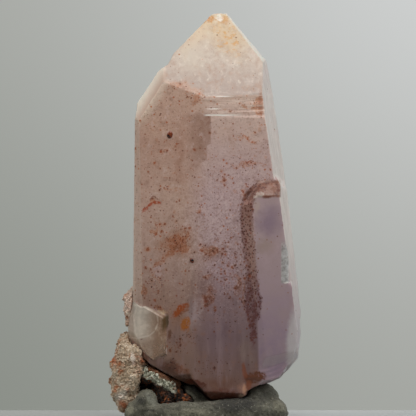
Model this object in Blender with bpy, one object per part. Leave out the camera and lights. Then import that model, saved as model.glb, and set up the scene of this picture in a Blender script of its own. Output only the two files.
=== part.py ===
"""A skeletal amethyst point with scraps of its host rock, standing in a lump of grey modelling putty.

Lengths are in millimetres and become metres by MM. +X is the viewer's right, the viewer looks along +Y
and +Z is up. The origin is on the surface that the putty stands on, below the middle of the whole.

Crystals are solids between flat faces. A Face has the compass azimuth of its outward normal (0 faces the
viewer, 90 the right), its lean (how far the normal points above the horizon) and one point on it. An ideal
quartz point has prism faces of lean 0 every 60 degrees and tip faces of lean 38.2.
"""

import math
import random
from collections import namedtuple

import bmesh
import bpy
from mathutils import Euler, Matrix, Vector, noise

MM = 0.001
# The clear space between two of the pieces
GAP = 0.3
# Half the edge of the block that each crystal is cut from
BLOCK = 60.0

# The main crystal: where its faces stand
TIP_LEAN = 37.0
FRONT_RIDGE = (0.1, -7.5, 61.2)
FRONT_RIGHT_CORNER = (10.9, -6.55, 61.2)
BACK_RIGHT_CORNER = (13.05, 0.1, 62.5)
LEFT_CORNER = (-13.4, -4.8, 45.0)
BACK_POINT = (-2.0, 9.6, 61.2)
FRONT_RIGHT_AZIMUTH = 5.0
FRONT_LEAN = 3.0
FRONT_LEFT_AZIMUTH = -9.5
RIGHT_AZIMUTH = 72.0
LOWEST_BREAK = 3.7

# The smaller crystal grown on the right of the front face
SIDE_TOP = 42.6
SIDE_BOTTOM = 6.8
SIDE_CORNER = (14.2, -9.14, SIDE_TOP)
SIDE_AZIMUTH = 5.0

# The steps across the top of the front face, as heights and turns, and how steeply their treads lie
LEDGES = [(57.4, 1.2), (58.35, 2.2), (59.9, 3.0)]
LEDGE_TREAD_LEAN = 65.0
LEDGE_TOP = 66.0

# Skeletal recesses: how far each terrace lies behind the one outside it, and how its walls are turned
TERRACE_DEPTH = 0.26
TERRACE_WALL_TURN = 112.0

# Lumpy pieces: how far out on its parent lump a small one sits, as a share of the parent's radius
CRUMB_REACH = 0.92
CRUST_CRUMBS = 46
ROCK_CRUMBS = 18

Face = namedtuple("Face", "azimuth lean point")
Lump = namedtuple("Lump", "centre radii turn", defaults=((0, 0, 0),))


def clear_scene():
    for thing in list(bpy.data.objects):
        bpy.data.objects.remove(thing, do_unlink=True)


def add_object(name, mesh):
    thing = bpy.data.objects.new(name, mesh)
    bpy.context.scene.collection.objects.link(thing)
    return thing


def hide_helper(thing):
    thing.hide_render = True
    thing.display_type = "WIRE"
    return thing


def finish_mesh(form, name):
    mesh = bpy.data.meshes.new(name)
    form.to_mesh(mesh)
    form.free()
    return mesh


def normal_of(face):
    """The outward unit normal of a Face."""
    azimuth = math.radians(face.azimuth)
    lean = math.radians(face.lean)
    return Vector((math.sin(azimuth) * math.cos(lean), -math.cos(azimuth) * math.cos(lean), math.sin(lean)))


def outside(face):
    """The same plane with the solid on its other side."""
    return Face(face.azimuth + 180, -face.lean, face.point)


def moved(face, distance):
    """The face pushed outwards along its normal."""
    return Face(face.azimuth, face.lean, tuple(Vector(face.point) + distance * normal_of(face)))


def crystal_mesh(name, faces, margin=0.0):
    """The convex solid inside all the faces, each pushed outwards by margin."""
    form = bmesh.new()
    bmesh.ops.create_cube(form, size=2 * BLOCK * MM, matrix=Matrix.Translation((0, 0, BLOCK / 2 * MM)))
    for face in faces:
        pushed = moved(face, margin)
        cut = bmesh.ops.bisect_plane(
            form, geom=form.verts[:] + form.edges[:] + form.faces[:], dist=1e-8,
            plane_co=Vector(pushed.point) * MM, plane_no=normal_of(pushed), clear_outer=True,
        )
        rim = [part for part in cut["geom_cut"] if isinstance(part, bmesh.types.BMEdge)]
        if rim:
            bmesh.ops.contextual_create(form, geom=rim)
    bmesh.ops.remove_doubles(form, verts=form.verts, dist=2e-6)
    bmesh.ops.recalc_face_normals(form, faces=form.faces)
    return finish_mesh(form, name)


def boolean(thing, operation, helper):
    step = thing.modifiers.new(helper.name, "BOOLEAN")
    step.operation = operation
    step.solver = "EXACT"
    step.object = hide_helper(helper)


def add_crystal(thing, name, faces):
    boolean(thing, "UNION", add_object(name, crystal_mesh(name, faces)))


def carve(thing, name, faces):
    boolean(thing, "DIFFERENCE", add_object(name, crystal_mesh(name, faces)))


def bake(thing):
    """Replaces the object's mesh by the result of its modifiers."""
    graph = bpy.context.evaluated_depsgraph_get()
    mesh = bpy.data.meshes.new_from_object(thing.evaluated_get(graph))
    thing.modifiers.clear()
    thing.data = mesh


# The crystals, each as the list of its faces

FRONT_RIGHT = Face(FRONT_RIGHT_AZIMUTH, FRONT_LEAN, FRONT_RIDGE)
FRONT_LEFT = Face(FRONT_LEFT_AZIMUTH, 3.8, FRONT_RIDGE)
RIGHT_UPPER = Face(RIGHT_AZIMUTH, 11.5, FRONT_RIGHT_CORNER)
RIGHT_LOWER = Face(RIGHT_AZIMUTH, 8.8, FRONT_RIGHT_CORNER)
BACK_RIGHT = Face(128, 5.4, BACK_RIGHT_CORNER)
BACK = Face(188, 2.0, BACK_POINT)
BACK_LEFT = Face(-106, 0.2, LEFT_CORNER)
LEFT_BEVEL = Face(-55, 1.5, LEFT_CORNER)
TIP_FRONT = Face(FRONT_RIGHT_AZIMUTH, TIP_LEAN, FRONT_RIGHT_CORNER)
TIP_BACK_RIGHT = Face(130, 38.0, (3.6, 6.0, 76.7))

MAIN_CRYSTAL = [
    FRONT_RIGHT, FRONT_LEFT, RIGHT_UPPER, RIGHT_LOWER, BACK_RIGHT, BACK, BACK_LEFT, LEFT_BEVEL, TIP_FRONT,
    Face(97, 5.2, (15.2, 0, 46.0)),
    Face(95, 0.0, (17.5, 0, 22.0)),
    Face(65, 44.0, (5.9, 3.32, 74.86)),
    Face(97, 37.5, (12.0, -0.95, 67.9)),
    TIP_BACK_RIGHT,
    Face(188, 38.0, (3.0, 6.2, 76.7)),
    Face(-105, 39.1, (0.3, 4.02, 76.4)),
    Face(-110, 32.7, (-12.8, -2.88, 60.0)),
    Face(-50, 24.4, (-7.9, -6.06, 63.8)),
    Face(-75, 84.0, (2.4, 4.0, 76.9)),
    Face(90, 88.0, (3.0, 4.0, 76.95)),
    Face(0, -90, (0, 0, LOWEST_BREAK + 2.9)),
    Face(-92, -62, (-4.6, 0, LOWEST_BREAK + 3.9)),
    Face(-90, -45, (-10.4, 0, LOWEST_BREAK + 6.9)),
    Face(90, -66, (12.1, 0, SIDE_BOTTOM + 0.3)),
    Face(90, -36, (14.2, 0, SIDE_BOTTOM + 1.3)),
    Face(90, -10, (16.5, 0, SIDE_BOTTOM + 4.6)),
    Face(0, -45, (0, -10.2, 8.4)),
    Face(178, -48, (0, 9.5, 7.0)),
]

# The lobe of the main crystal that reaches lowest, down into the putty
BASE_LOBE = [
    Face(4, 4.9, (3.0, -10.42, 5.0)),
    Face(86, -2.0, (8.05, -9.0, 5.5)),
    Face(50, 1.0, (7.15, -10.1, 5.0)),
    Face(88, -54, (7.4, -9.5, LOWEST_BREAK + 0.6)),
    Face(-80, -44, (-0.2, 0, LOWEST_BREAK)),
    Face(-70, 10, (-2.6, -9.0, 10.0)),
    Face(20, 60, (3.0, -9.9, 14.5)),
    Face(0, -90, (0, 0, LOWEST_BREAK)),
    Face(0, -50, (0, -10.1, 5.0)),
    Face(180, -30, (0, 3.0, 5.0)),
    Face(180, 10, (0, 3.0, 8.0)),
]

# The broken edge between the lowest lobe and the foot of the small crystal
FOOT_WEDGE = [
    moved(FRONT_RIGHT, -0.2),
    Face(94, -64, (9.5, -9.0, LOWEST_BREAK + 2.45)),
    Face(-90, 0, (7.3, 0, 0)),
    Face(180, 0, (0, -1.0, 0)),
    Face(0, 90, (0, 0, 9.0)),
]

# The step below the left of the tip, where a second tip was overtaken by the main one
SHOULDER_STEP = [
    outside(Face(-93, 25.0, (-6.9, -3.4, 67.45))),
    outside(Face(-93, 55.0, (-8.8, -3.3, 66.1))),
]

SIDE_FRONT = Face(SIDE_AZIMUTH, 0.9, SIDE_CORNER)
SIDE_RIGHT = Face(RIGHT_AZIMUTH, 7.4, SIDE_CORNER)
SIDE_CRYSTAL = [
    SIDE_FRONT, SIDE_RIGHT,
    Face(-38, -2.7, (8.9, -9.6, 41.6)),
    Face(SIDE_AZIMUTH, TIP_LEAN, (12.4, -9.3, SIDE_TOP)),
    Face(-50, 33.0, (8.9, -9.6, 41.2)),
    Face(99, 5.5, (15.75, -3.0, 41.6)),
    Face(125, 4.0, (15.2, 2.0, 41.6)),
    Face(80, 30.0, (14.6, -8.5, 43.9)),
    Face(180, 0, (0, 4.0, 0)),
    Face(0, -90, (0, 0, SIDE_BOTTOM)),
    Face(90, -66, (12.1, 0, SIDE_BOTTOM)),
    Face(90, -36, (14.3, 0, SIDE_BOTTOM + 1.0)),
    Face(90, -10, (16.8, 0, SIDE_BOTTOM + 4.4)),
    Face(15, -48, (12.0, -9.9, 9.6)),
    Face(10, -20, (12.0, -10.2, 13.0)),
    Face(-60, -30, (9.6, -9.6, 12.0)),
]

# The clear notch in the right edge of the small crystal, above the last crystal on that side
CLEAR_NOTCH = [
    outside(Face(40, 1.8, (15.95, -9.04, 25.8))),
    Face(40, -62, (15.95, -9.04, 25.8)),
]

LOW_CRYSTAL = [
    Face(-2, 0.4, (16.45, -9.35, 25.6)),
    Face(-90, 0, (11.0, 0, 0)),
    Face(74, 4.6, (16.6, -9.25, 25.4)),
    Face(98, 3.0, (17.75, -4.0, 22.6)),
    Face(60, 48, (16.3, -9.2, 25.6)),
    Face(180, 0, (0, 1.5, 0)),
    Face(0, -90, (0, 0, SIDE_BOTTOM + 0.4)),
    Face(95, -70, (12.6, 0, SIDE_BOTTOM + 0.4)),
    Face(92, -40, (14.6, 0, SIDE_BOTTOM + 1.4)),
    Face(92, -8, (17.7, 0, SIDE_BOTTOM + 6.7)),
    Face(15, -52, (12.0, -9.8, 10.4)),
    Face(10, -18, (12.0, -10.1, 14.0)),
]

# A low crystal grown flat against the back
BACK_CRYSTAL = [
    Face(188, 1.0, (1.0, 11.6, 30.0)),
    Face(128, 2.5, (5.4, 11.0, 30.0)),
    Face(-112, -1.5, (-3.6, 10.6, 30.0)),
    Face(188, 38.0, (1.0, 11.5, 33.0)),
    Face(128, 38.0, (5.4, 11.0, 32.0)),
    Face(-112, 38.0, (-3.6, 10.6, 31.0)),
    Face(0, 0, (0, 5.0, 0)),
    Face(68, 0, (8.4, 6.0, 0)),
    Face(-52, 0, (-5.0, 6.0, 0)),
    Face(0, -90, (0, 0, 9.5)),
    Face(178, -50, (0, 11.4, 11.0)),
]

# The clear broken crystal at the lower left
CLEAR_CRYSTAL = [
    Face(-18, 2.0, (-10.0, -9.3, 18.0)),
    Face(-62, 9.5, (-14.7, -5.5, 16.5)),
    Face(-118, 9.5, (-14.7, -5.5, 16.5)),
    Face(-25, 62.0, (-12.0, -8.2, 21.4)),
    Face(20, 50.0, (-8.6, -9.4, 19.9)),
    Face(52, 3.0, (-7.2, -9.4, 16.0)),
    Face(-70, -22.0, (-12.8, -8.5, 15.4)),
    Face(-80, -50, (-14.9, -5.0, 15.0)),
    Face(180, 0, (0, 0.5, 0)),
    Face(0, -90, (0, 0, 8.6)),
    Face(10, -42, (-9.0, -9.3, 11.5)),
]


def build_front_ledges(point):
    """Three low steps across the top of the front face, where prism and tip growth took turns."""
    x, y, z = FRONT_RIDGE
    for count, (height, turn) in enumerate(LEDGES):
        start = (x, y + (height - z) * math.tan(math.radians(FRONT_LEAN)), height)
        carve(point, f"front_ledge_{count}", [
            outside(Face(FRONT_RIGHT_AZIMUTH + turn, FRONT_LEAN, start)),
            outside(Face(FRONT_RIGHT_AZIMUTH, LEDGE_TREAD_LEAN, start)),
            Face(0, 90, (0, 0, LEDGE_TOP)),
        ])


def carve_hopper(point, name, face, left, right, bottom, top, terraces, seed):
    """A hopper: uneven terraces, one inside the other, where the face lagged behind its edges.

    left and right are measured along the face from its own point, bottom and top are heights.
    """
    pick = random.Random(seed)
    turn = TERRACE_WALL_TURN
    normal = normal_of(face)
    sideways = Vector((0, 0, 1)).cross(normal).normalized()
    upwards = normal.cross(sideways).normalized()
    foot = Vector(face.point) - upwards * (face.point[2] / upwards.z)

    def place(across, height):
        return tuple(foot + sideways * across + upwards * (height / upwards.z))

    for level in range(terraces):
        carve(point, f"{name}_{level}", [
            outside(moved(face, -(level + 1) * TERRACE_DEPTH)),
            moved(face, 3.0),
            Face(face.azimuth - turn, pick.uniform(-2.5, 2.5), place(left, bottom)),
            Face(face.azimuth + turn, pick.uniform(-2.5, 2.5), place(right, bottom)),
            Face(face.azimuth + pick.choice((-turn, turn)), pick.uniform(-75, -60), place(left, bottom)),
            Face(face.azimuth + turn, pick.uniform(38, 52), place(right, top + pick.uniform(-1.5, 1.5))),
            Face(face.azimuth - turn, pick.uniform(32, 48), place(left, top + pick.uniform(-1.5, 1.5))),
        ])
        left += pick.uniform(0.35, 1.5)
        right -= pick.uniform(0.35, 1.5)
        bottom += pick.uniform(1.0, 4.5)
        top -= pick.uniform(0.6, 3.0)


def build_hoppers(point):
    """Skeletal hoppers in the faces that the front view doesn't show."""
    carve_hopper(point, "left_hopper", BACK_LEFT, -13.6, -1.3, 27.0, 53.5, 4, 3)
    carve_hopper(point, "right_hopper", BACK_RIGHT, 1.6, 12.2, 21.0, 53.0, 4, 8)
    carve_hopper(point, "back_hopper", BACK, -4.6, 5.6, 33.0, 60.0, 3, 21)


def build_point():
    """The amethyst itself: the main crystal, the smaller ones grown into it, and its skeletal recesses."""
    point = add_object("amethyst_point", crystal_mesh("amethyst_point", MAIN_CRYSTAL))
    carve(point, "shoulder_step", SHOULDER_STEP)
    build_front_ledges(point)
    add_crystal(point, "side_crystal", SIDE_CRYSTAL)
    carve(point, "clear_notch", CLEAR_NOTCH)
    add_crystal(point, "low_crystal", LOW_CRYSTAL)
    add_crystal(point, "clear_crystal", CLEAR_CRYSTAL)
    add_crystal(point, "base_lobe", BASE_LOBE)
    add_crystal(point, "foot_wedge", FOOT_WEDGE)
    build_hoppers(point)
    add_crystal(point, "back_crystal", BACK_CRYSTAL)
    return point


def lumpy_mesh(name, lumps):
    """The ellipsoids of a list of Lumps, still apart, in one mesh."""
    form = bmesh.new()
    for lump in lumps:
        turn = Euler([math.radians(angle) for angle in lump.turn])
        place = Matrix.LocRotScale(Vector(lump.centre) * MM, turn, Vector(lump.radii) * MM)
        bmesh.ops.create_icosphere(form, subdivisions=4, radius=1, matrix=place)
    return finish_mesh(form, name)


def crumb_on(home, direction, pick, smallest, largest):
    """A small lump half sunk into the surface of a larger one, on the side that direction points to."""
    centre = Vector(home.centre) + Vector(direction[i] * home.radii[i] * CRUMB_REACH for i in range(3))
    size = pick.uniform(smallest, largest)
    return Lump(tuple(centre), (size, size * pick.uniform(0.75, 1.2), size * pick.uniform(0.7, 1.25)))


def melt_together(thing, voxel):
    """Makes one closed skin of all the lumps, with faces of about the voxel's size, in millimetres."""
    step = thing.modifiers.new("melt", "REMESH")
    step.mode = "VOXEL"
    step.voxel_size = voxel * MM
    bake(thing)


def roughen(thing, height, size, seed):
    """Moves each corner along its normal by a random relief of the given height and grain size."""
    shift = Vector((seed, 2 * seed, 3 * seed))
    mesh = thing.data
    normals = [corner.normal.copy() for corner in mesh.vertices]
    for corner, normal in zip(mesh.vertices, normals):
        relief = noise.noise(corner.co / (size * MM) + shift)
        fine = noise.noise(corner.co / (0.4 * size * MM) - shift)
        corner.co = corner.co + normal * (relief + 0.45 * fine) * height * MM


def thin_out(thing, triangles):
    step = thing.modifiers.new("thin_out", "DECIMATE")
    thing.data.calc_loop_triangles()
    step.ratio = triangles / len(thing.data.loop_triangles)
    bake(thing)


def keep_largest(thing):
    """Deletes the crumbs that a cut leaves beside the main body."""
    form = bmesh.new()
    form.from_mesh(thing.data)
    left = set(form.verts)
    groups = []
    while left:
        group = {left.pop()}
        edge_of_group = list(group)
        while edge_of_group:
            corner = edge_of_group.pop()
            for edge in corner.link_edges:
                other = edge.other_vert(corner)
                if other not in group:
                    group.add(other)
                    edge_of_group.append(other)
        left -= group
        groups.append(group)
    groups.sort(key=len)
    for group in groups[:-1]:
        bmesh.ops.delete(form, geom=list(group), context="VERTS")
    form.to_mesh(thing.data)
    form.free()


def cut_flat(thing, height):
    """Cuts the body level at the given height and closes it with a flat underside."""
    form = bmesh.new()
    form.from_mesh(thing.data)
    cut = bmesh.ops.bisect_plane(
        form, geom=form.verts[:] + form.edges[:] + form.faces[:], dist=1e-7,
        plane_co=(0, 0, height * MM), plane_no=(0, 0, -1), clear_outer=True,
    )
    rim = [part for part in cut["geom_cut"] if isinstance(part, bmesh.types.BMEdge)]
    bmesh.ops.contextual_create(form, geom=rim)
    form.to_mesh(thing.data)
    form.free()


def grown_copy(thing, name):
    """A copy of a lumpy body, larger by the gap all round, to cut its neighbours with."""
    copy = add_object(name, thing.data.copy())
    normals = [corner.normal.copy() for corner in copy.data.vertices]
    for corner, normal in zip(copy.data.vertices, normals):
        corner.co = corner.co + normal * 1.15 * GAP * MM
    melt_together(copy, 0.45)
    thin_out(copy, 2500)
    return copy


def clear_of_crystal(thing):
    """Cuts the body back from every crystal, with the gap between them."""
    solids = {
        "main": MAIN_CRYSTAL, "lobe": BASE_LOBE, "side": SIDE_CRYSTAL, "low": LOW_CRYSTAL,
        "clear": CLEAR_CRYSTAL, "foot": FOOT_WEDGE,
    }
    for name, faces in solids.items():
        cutter = add_object(f"{name}_beside_{thing.name}", crystal_mesh(name, faces, GAP))
        boolean(thing, "DIFFERENCE", cutter)


def build_crust():
    """The sandy crust on the lower left: a thick leaf in front, thinner towards the back."""
    lumps = [
        Lump((-15.4, -5.2, 8.6), (2.2, 3.4, 6.6), (0, 4, 0)),
        Lump((-14.6, -6.0, 4.4), (2.5, 2.6, 3.0)),
        Lump((-14.8, -1.5, 9.5), (2.4, 4.6, 7.0)),
        Lump((-13.6, -2.4, 20.7), (1.7, 3.0, 3.2)),
        Lump((-11.6, 3.8, 9.0), (3.4, 3.6, 6.4), (0, 0, 15)),
        Lump((-9.2, 7.6, 7.4), (4.2, 2.8, 4.4), (0, 0, 30)),
        Lump((-13.4, -8.0, 8.2), (1.5, 1.6, 3.6), (0, 12, 0)),
        Lump((-12.4, 0.5, 15.0), (1.8, 3.6, 7.0)),
        Lump((-13.5, -2.4, 23.3), (0.9, 2.2, 1.9)),
        Lump((-12.8, -6.3, 11.9), (2.3, 3.2, 2.5)),
    ]
    pick = random.Random(11)
    homes = lumps[:6]
    for _ in range(CRUST_CRUMBS):
        direction = Vector((pick.uniform(-1, 0.2), pick.uniform(-1, 1), pick.uniform(-1, 1))).normalized()
        lumps.append(crumb_on(pick.choice(homes), direction, pick, 0.5, 1.15))
    crust = add_object("matrix_crust", lumpy_mesh("matrix_crust", lumps))
    melt_together(crust, 0.32)
    roughen(crust, 0.32, 1.5, 3.0)
    thin_out(crust, 2300)
    clear_of_crystal(crust)
    bake(crust)
    keep_largest(crust)
    return crust


def build_rock(crust_grown):
    """The iron-stained rock under the lower left of the crystal, with paler lumps on top."""
    lumps = [
        Lump((-7.0, -6.0, 4.4), (3.6, 3.2, 2.4), (0, 14, 0)),
        Lump((-10.8, -6.8, 7.9), (1.5, 2.2, 1.3), (0, 10, 0)),
        Lump((-7.9, -7.8, 6.5), (2.1, 1.9, 1.0), (0, 20, 0)),
        Lump((-5.6, -8.2, 4.9), (1.6, 1.6, 1.3)),
        Lump((-3.9, -8.8, 3.6), (1.6, 1.6, 1.1)),
        Lump((-6.9, -8.6, 3.0), (1.3, 1.4, 1.5)),
        Lump((-8.6, -1.8, 5.2), (4.4, 4.0, 2.8), (0, 12, 0)),
        Lump((-6.4, 4.0, 5.0), (3.6, 4.0, 2.6)),
        Lump((-8.2, -6.4, 8.0), (4.2, 3.4, 1.5), (0, 26, 0)),
    ]
    pick = random.Random(5)
    homes = lumps[:5]
    for _ in range(ROCK_CRUMBS):
        direction = Vector((pick.uniform(-1, 1), pick.uniform(-1, 0.3), pick.uniform(-0.6, 1))).normalized()
        lumps.append(crumb_on(pick.choice(homes), direction, pick, 0.4, 0.85))
    rock = add_object("matrix_rock", lumpy_mesh("matrix_rock", lumps))
    melt_together(rock, 0.28)
    roughen(rock, 0.26, 1.1, 7.0)
    thin_out(rock, 1500)
    clear_of_crystal(rock)
    boolean(rock, "DIFFERENCE", crust_grown)
    bake(rock)
    keep_largest(rock)
    return rock


def roll(start, end, radius, bulge, count=7):
    """A finger-rolled strand of putty: a row of overlapping lumps, thicker and further out in the middle."""
    first = Vector(start)
    last = Vector(end)
    row = []
    for step in range(count):
        share = step / (count - 1)
        arch = math.sin(math.pi * share)
        centre = first.lerp(last, share) - Vector((0, bulge * arch, 0))
        size = radius * (0.86 + 0.14 * arch)
        row.append(Lump(tuple(centre), (1.25 * size, 1.1 * size, size)))
    return row


def build_putty(neighbours):
    """Two finger-rolled strands in front of a kneaded heap, pressed together into a stand, flat below."""
    lumps = [
        Lump((0.0, 0.0, 1.0), (13.6, 12.2, 3.4)),
        Lump((10.9, -3.4, 3.0), (3.2, 4.4, 3.6)),
        Lump((12.3, -2.6, 0.8), (3.6, 5.0, 2.6)),
        Lump((9.4, -5.4, 3.3), (2.7, 3.6, 2.9)),
        Lump((-3.2, -4.6, 3.4), (4.4, 4.4, 3.1), (0, -8, 0)),
        Lump((-11.0, -8.4, 3.0), (2.2, 3.4, 2.9), (0, 6, 0)),
        Lump((-12.9, -9.4, 1.2), (2.2, 2.6, 2.4)),
        Lump((-10.6, -3.0, 1.8), (2.9, 5.0, 2.6)),
        Lump((6.0, -7.6, 1.8), (8.0, 4.6, 2.4)),
        Lump((10.6, 5.0, 2.8), (3.6, 5.2, 3.9)),
        Lump((2.0, 10.4, 4.2), (6.4, 3.8, 5.0)),
        Lump((-7.6, 10.2, 3.0), (5.0, 4.0, 4.0)),
    ]
    lumps += roll((-8.6, -11.2, 1.0), (0.6, -11.4, 1.5), 2.4, 0.3)
    lumps += roll((1.6, -11.0, 1.0), (12.6, -6.6, 1.6), 2.7, 0.8)
    putty = add_object("putty_base", lumpy_mesh("putty_base", lumps))
    melt_together(putty, 0.5)
    roughen(putty, 0.35, 4.0, 9.0)
    thin_out(putty, 2300)
    keep_largest(putty)
    cut_flat(putty, 0.0)
    clear_of_crystal(putty)
    for neighbour in neighbours:
        boolean(putty, "DIFFERENCE", neighbour)
    bake(putty)
    keep_largest(putty)
    return putty


def give_material(thing, name, colour, roughness, **values):
    """A plain Principled material of the part's own colour."""
    material = bpy.data.materials.new(name)
    material.use_nodes = True
    shader = material.node_tree.nodes["Principled BSDF"]
    shader.inputs["Base Color"].default_value = (*colour, 1.0)
    shader.inputs["Roughness"].default_value = roughness
    for socket, value in values.items():
        shader.inputs[socket.replace("_", " ")].default_value = value
    thing.data.materials.clear()
    thing.data.materials.append(material)


def main():
    clear_scene()
    point = build_point()
    crust = build_crust()
    crust_grown = grown_copy(crust, "crust_clearance")
    rock = build_rock(crust_grown)
    rock_grown = grown_copy(rock, "rock_clearance")
    putty = build_putty([crust_grown, rock_grown])
    give_material(point, "amethyst_frosted", (0.42, 0.28, 0.27), 0.45, Coat_Weight=0.2)
    give_material(crust, "sandy_crust", (0.30, 0.22, 0.15), 0.95)
    give_material(rock, "iron_rock", (0.07, 0.045, 0.03), 0.9)
    give_material(putty, "grey_putty", (0.09, 0.09, 0.07), 0.85)


main()
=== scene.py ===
# %% [markdown]
# # A skeletal amethyst point, standing in putty
#
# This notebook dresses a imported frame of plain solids. The frame gives the size and place of four nodes: the
# crystal, the sandy crust, the dark rock and the putty. Every step below makes one piece or one finish over
# them, and the frame itself is never moved.

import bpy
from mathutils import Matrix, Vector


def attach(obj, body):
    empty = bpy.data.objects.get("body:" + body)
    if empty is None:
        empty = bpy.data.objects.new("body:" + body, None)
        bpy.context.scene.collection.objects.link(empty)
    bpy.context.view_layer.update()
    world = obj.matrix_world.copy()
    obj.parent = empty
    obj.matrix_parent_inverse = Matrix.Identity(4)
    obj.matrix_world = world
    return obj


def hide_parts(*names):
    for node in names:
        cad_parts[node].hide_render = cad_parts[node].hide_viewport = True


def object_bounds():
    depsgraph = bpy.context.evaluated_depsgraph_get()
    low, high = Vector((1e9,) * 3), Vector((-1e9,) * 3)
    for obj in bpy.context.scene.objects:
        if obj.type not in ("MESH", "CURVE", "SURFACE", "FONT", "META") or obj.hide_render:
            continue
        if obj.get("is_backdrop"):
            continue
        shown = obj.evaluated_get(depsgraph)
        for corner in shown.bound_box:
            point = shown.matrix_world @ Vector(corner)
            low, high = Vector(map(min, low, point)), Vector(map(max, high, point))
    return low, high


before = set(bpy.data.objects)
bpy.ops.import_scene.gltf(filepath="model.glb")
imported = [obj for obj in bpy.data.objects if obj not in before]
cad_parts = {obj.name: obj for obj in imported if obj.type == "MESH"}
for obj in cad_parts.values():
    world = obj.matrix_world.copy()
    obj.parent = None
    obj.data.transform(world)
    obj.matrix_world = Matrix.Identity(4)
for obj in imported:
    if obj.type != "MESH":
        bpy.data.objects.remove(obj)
cad_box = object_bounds()
print("nodes:", ", ".join(sorted(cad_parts)))

# %% Libraries and units
import math
import random

import bpy
import numpy as np
from mathutils import Euler, Vector

MM = 0.001
size = (cad_box[1] - cad_box[0]) / MM
print(f"the frame is {size.x:.1f} x {size.y:.1f} x {size.z:.1f} mm")

# %% [markdown]
# ## Small tools
#
# Blender's operators act on whatever is selected, and the frame comes in selected. So each step starts by
# selecting one object alone. Faces are then chosen in code by where they are, as a hand would do it by eye.

# %% Selecting and editing one object


def deselect():
    bpy.ops.object.select_all(action="DESELECT")


def take(piece):
    """Selects one object alone and makes it the active one."""
    deselect()
    piece.select_set(True)
    bpy.context.view_layer.objects.active = piece


def edit(piece):
    """Opens a piece in edit mode with all of it selected."""
    take(piece)
    bpy.ops.object.mode_set(mode="EDIT")
    bpy.ops.mesh.select_all(action="SELECT")


def close_edit():
    bpy.ops.object.mode_set(mode="OBJECT")


def settle(piece):
    """Puts the piece's place, turn and size into its mesh, so that its object sits at the origin."""
    take(piece)
    bpy.ops.object.transform_apply(location=True, rotation=True, scale=True)


def apply_modifier(piece, kind, **settings):
    """Adds one modifier and applies it at once."""
    take(piece)
    step = piece.modifiers.new(kind.lower(), kind)
    for name, value in settings.items():
        setattr(step, name, value)
    bpy.ops.object.modifier_apply(modifier=step.name)


def tell(piece):
    """Prints what was made."""
    piece.data.calc_loop_triangles()
    print(f"{piece.name}: {len(piece.data.loop_triangles)} triangles")


# %% Starting, cutting and joining


def new_object(name, data):
    thing = bpy.data.objects.new(name, data)
    bpy.context.scene.collection.objects.link(thing)
    return thing


def start_from(add_primitive, name, **settings):
    """Adds a primitive, with nothing else selected, and names it."""
    deselect()
    add_primitive(**settings)
    bpy.context.object.name = name
    return bpy.context.object


def cut_off(piece, point, normal):
    """Cuts away what lies beyond a plane, and closes the cut."""
    edit(piece)
    bpy.ops.mesh.bisect(plane_co=point, plane_no=normal, use_fill=True, clear_outer=True)
    close_edit()


def joined(pieces, name):
    deselect()
    for piece in pieces:
        piece.select_set(True)
    bpy.context.view_layer.objects.active = pieces[0]
    bpy.ops.object.join()
    whole = bpy.context.object
    whole.name = name
    settle(whole)
    return whole


# %% [markdown]
# The nodes of the frame are meshes of loose triangles. A piece that starts from one is a copy whose corners
# are merged, which makes a closed skin that can be remeshed, cut and pressed into.

# %% A fine skin over a node


def skin_of(node, name, voxel):
    """A merged copy of a node with an even mesh. voxel is in millimetres."""
    piece = new_object(name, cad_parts[node].data.copy())
    piece.data.materials.clear()
    edit(piece)
    bpy.ops.mesh.remove_doubles(threshold=0.002 * MM)
    close_edit()
    apply_modifier(piece, "REMESH", mode="VOXEL", voxel_size=voxel * MM, use_smooth_shade=True)
    return piece


def emboss(piece, texture_kind, grain, depth, group="", stretch=(1, 1, 1), raised=0.5, **settings):
    """Presses a procedural texture into the skin. grain and depth are in millimetres.

    An empty gives the texture its grain and its stretch, and goes away again. raised is the share of the
    depth that stands out instead of going in.
    """
    texture = bpy.data.textures.new(texture_kind.lower(), texture_kind)
    for key, value in settings.items():
        setattr(texture, key, value)
    ruler = new_object("ruler", None)
    ruler.scale = Vector(stretch) * grain * MM
    bpy.context.view_layer.update()
    apply_modifier(
        piece, "DISPLACE", texture=texture, texture_coords="OBJECT", texture_coords_object=ruler,
        strength=depth * MM, mid_level=1 - raised, vertex_group=group,
    )
    bpy.data.objects.remove(ruler)
    bpy.data.textures.remove(texture)


def corners_of(piece):
    """The places, in millimetres, and the normals of all corners, as two arrays."""
    count = len(piece.data.vertices)
    place = np.zeros(count * 3)
    normal = np.zeros(count * 3)
    piece.data.vertices.foreach_get("co", place)
    piece.data.vertices.foreach_get("normal", normal)
    return place.reshape(-1, 3) / MM, normal.reshape(-1, 3)


def group_by(piece, name, weigh):
    """A vertex group whose weights come from the columns of each corner's place and normal."""
    place, normal = corners_of(piece)
    weights = np.clip(weigh(place.T, normal.T), 0, 1)
    group = piece.vertex_groups.new(name=name)
    for index in np.nonzero(weights > 0.01)[0]:
        group.add([int(index)], float(weights[index]), "REPLACE")
    return name


def ease(values, low, high):
    """0 up to low, 1 from high on, and a soft slope between."""
    share = np.clip((values - low) / (high - low), 0, 1)
    return share * share * (3 - 2 * share)


# %% [markdown]
# ## Shader maths
#
# A mineral's colour is a sum of many soft masks. Written as nodes it is hard to read, so one small class
# wraps a node's output and lets Python's own signs add the Math nodes. A second class is the material, with
# one method that adds any other node.

# %% Signals


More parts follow.
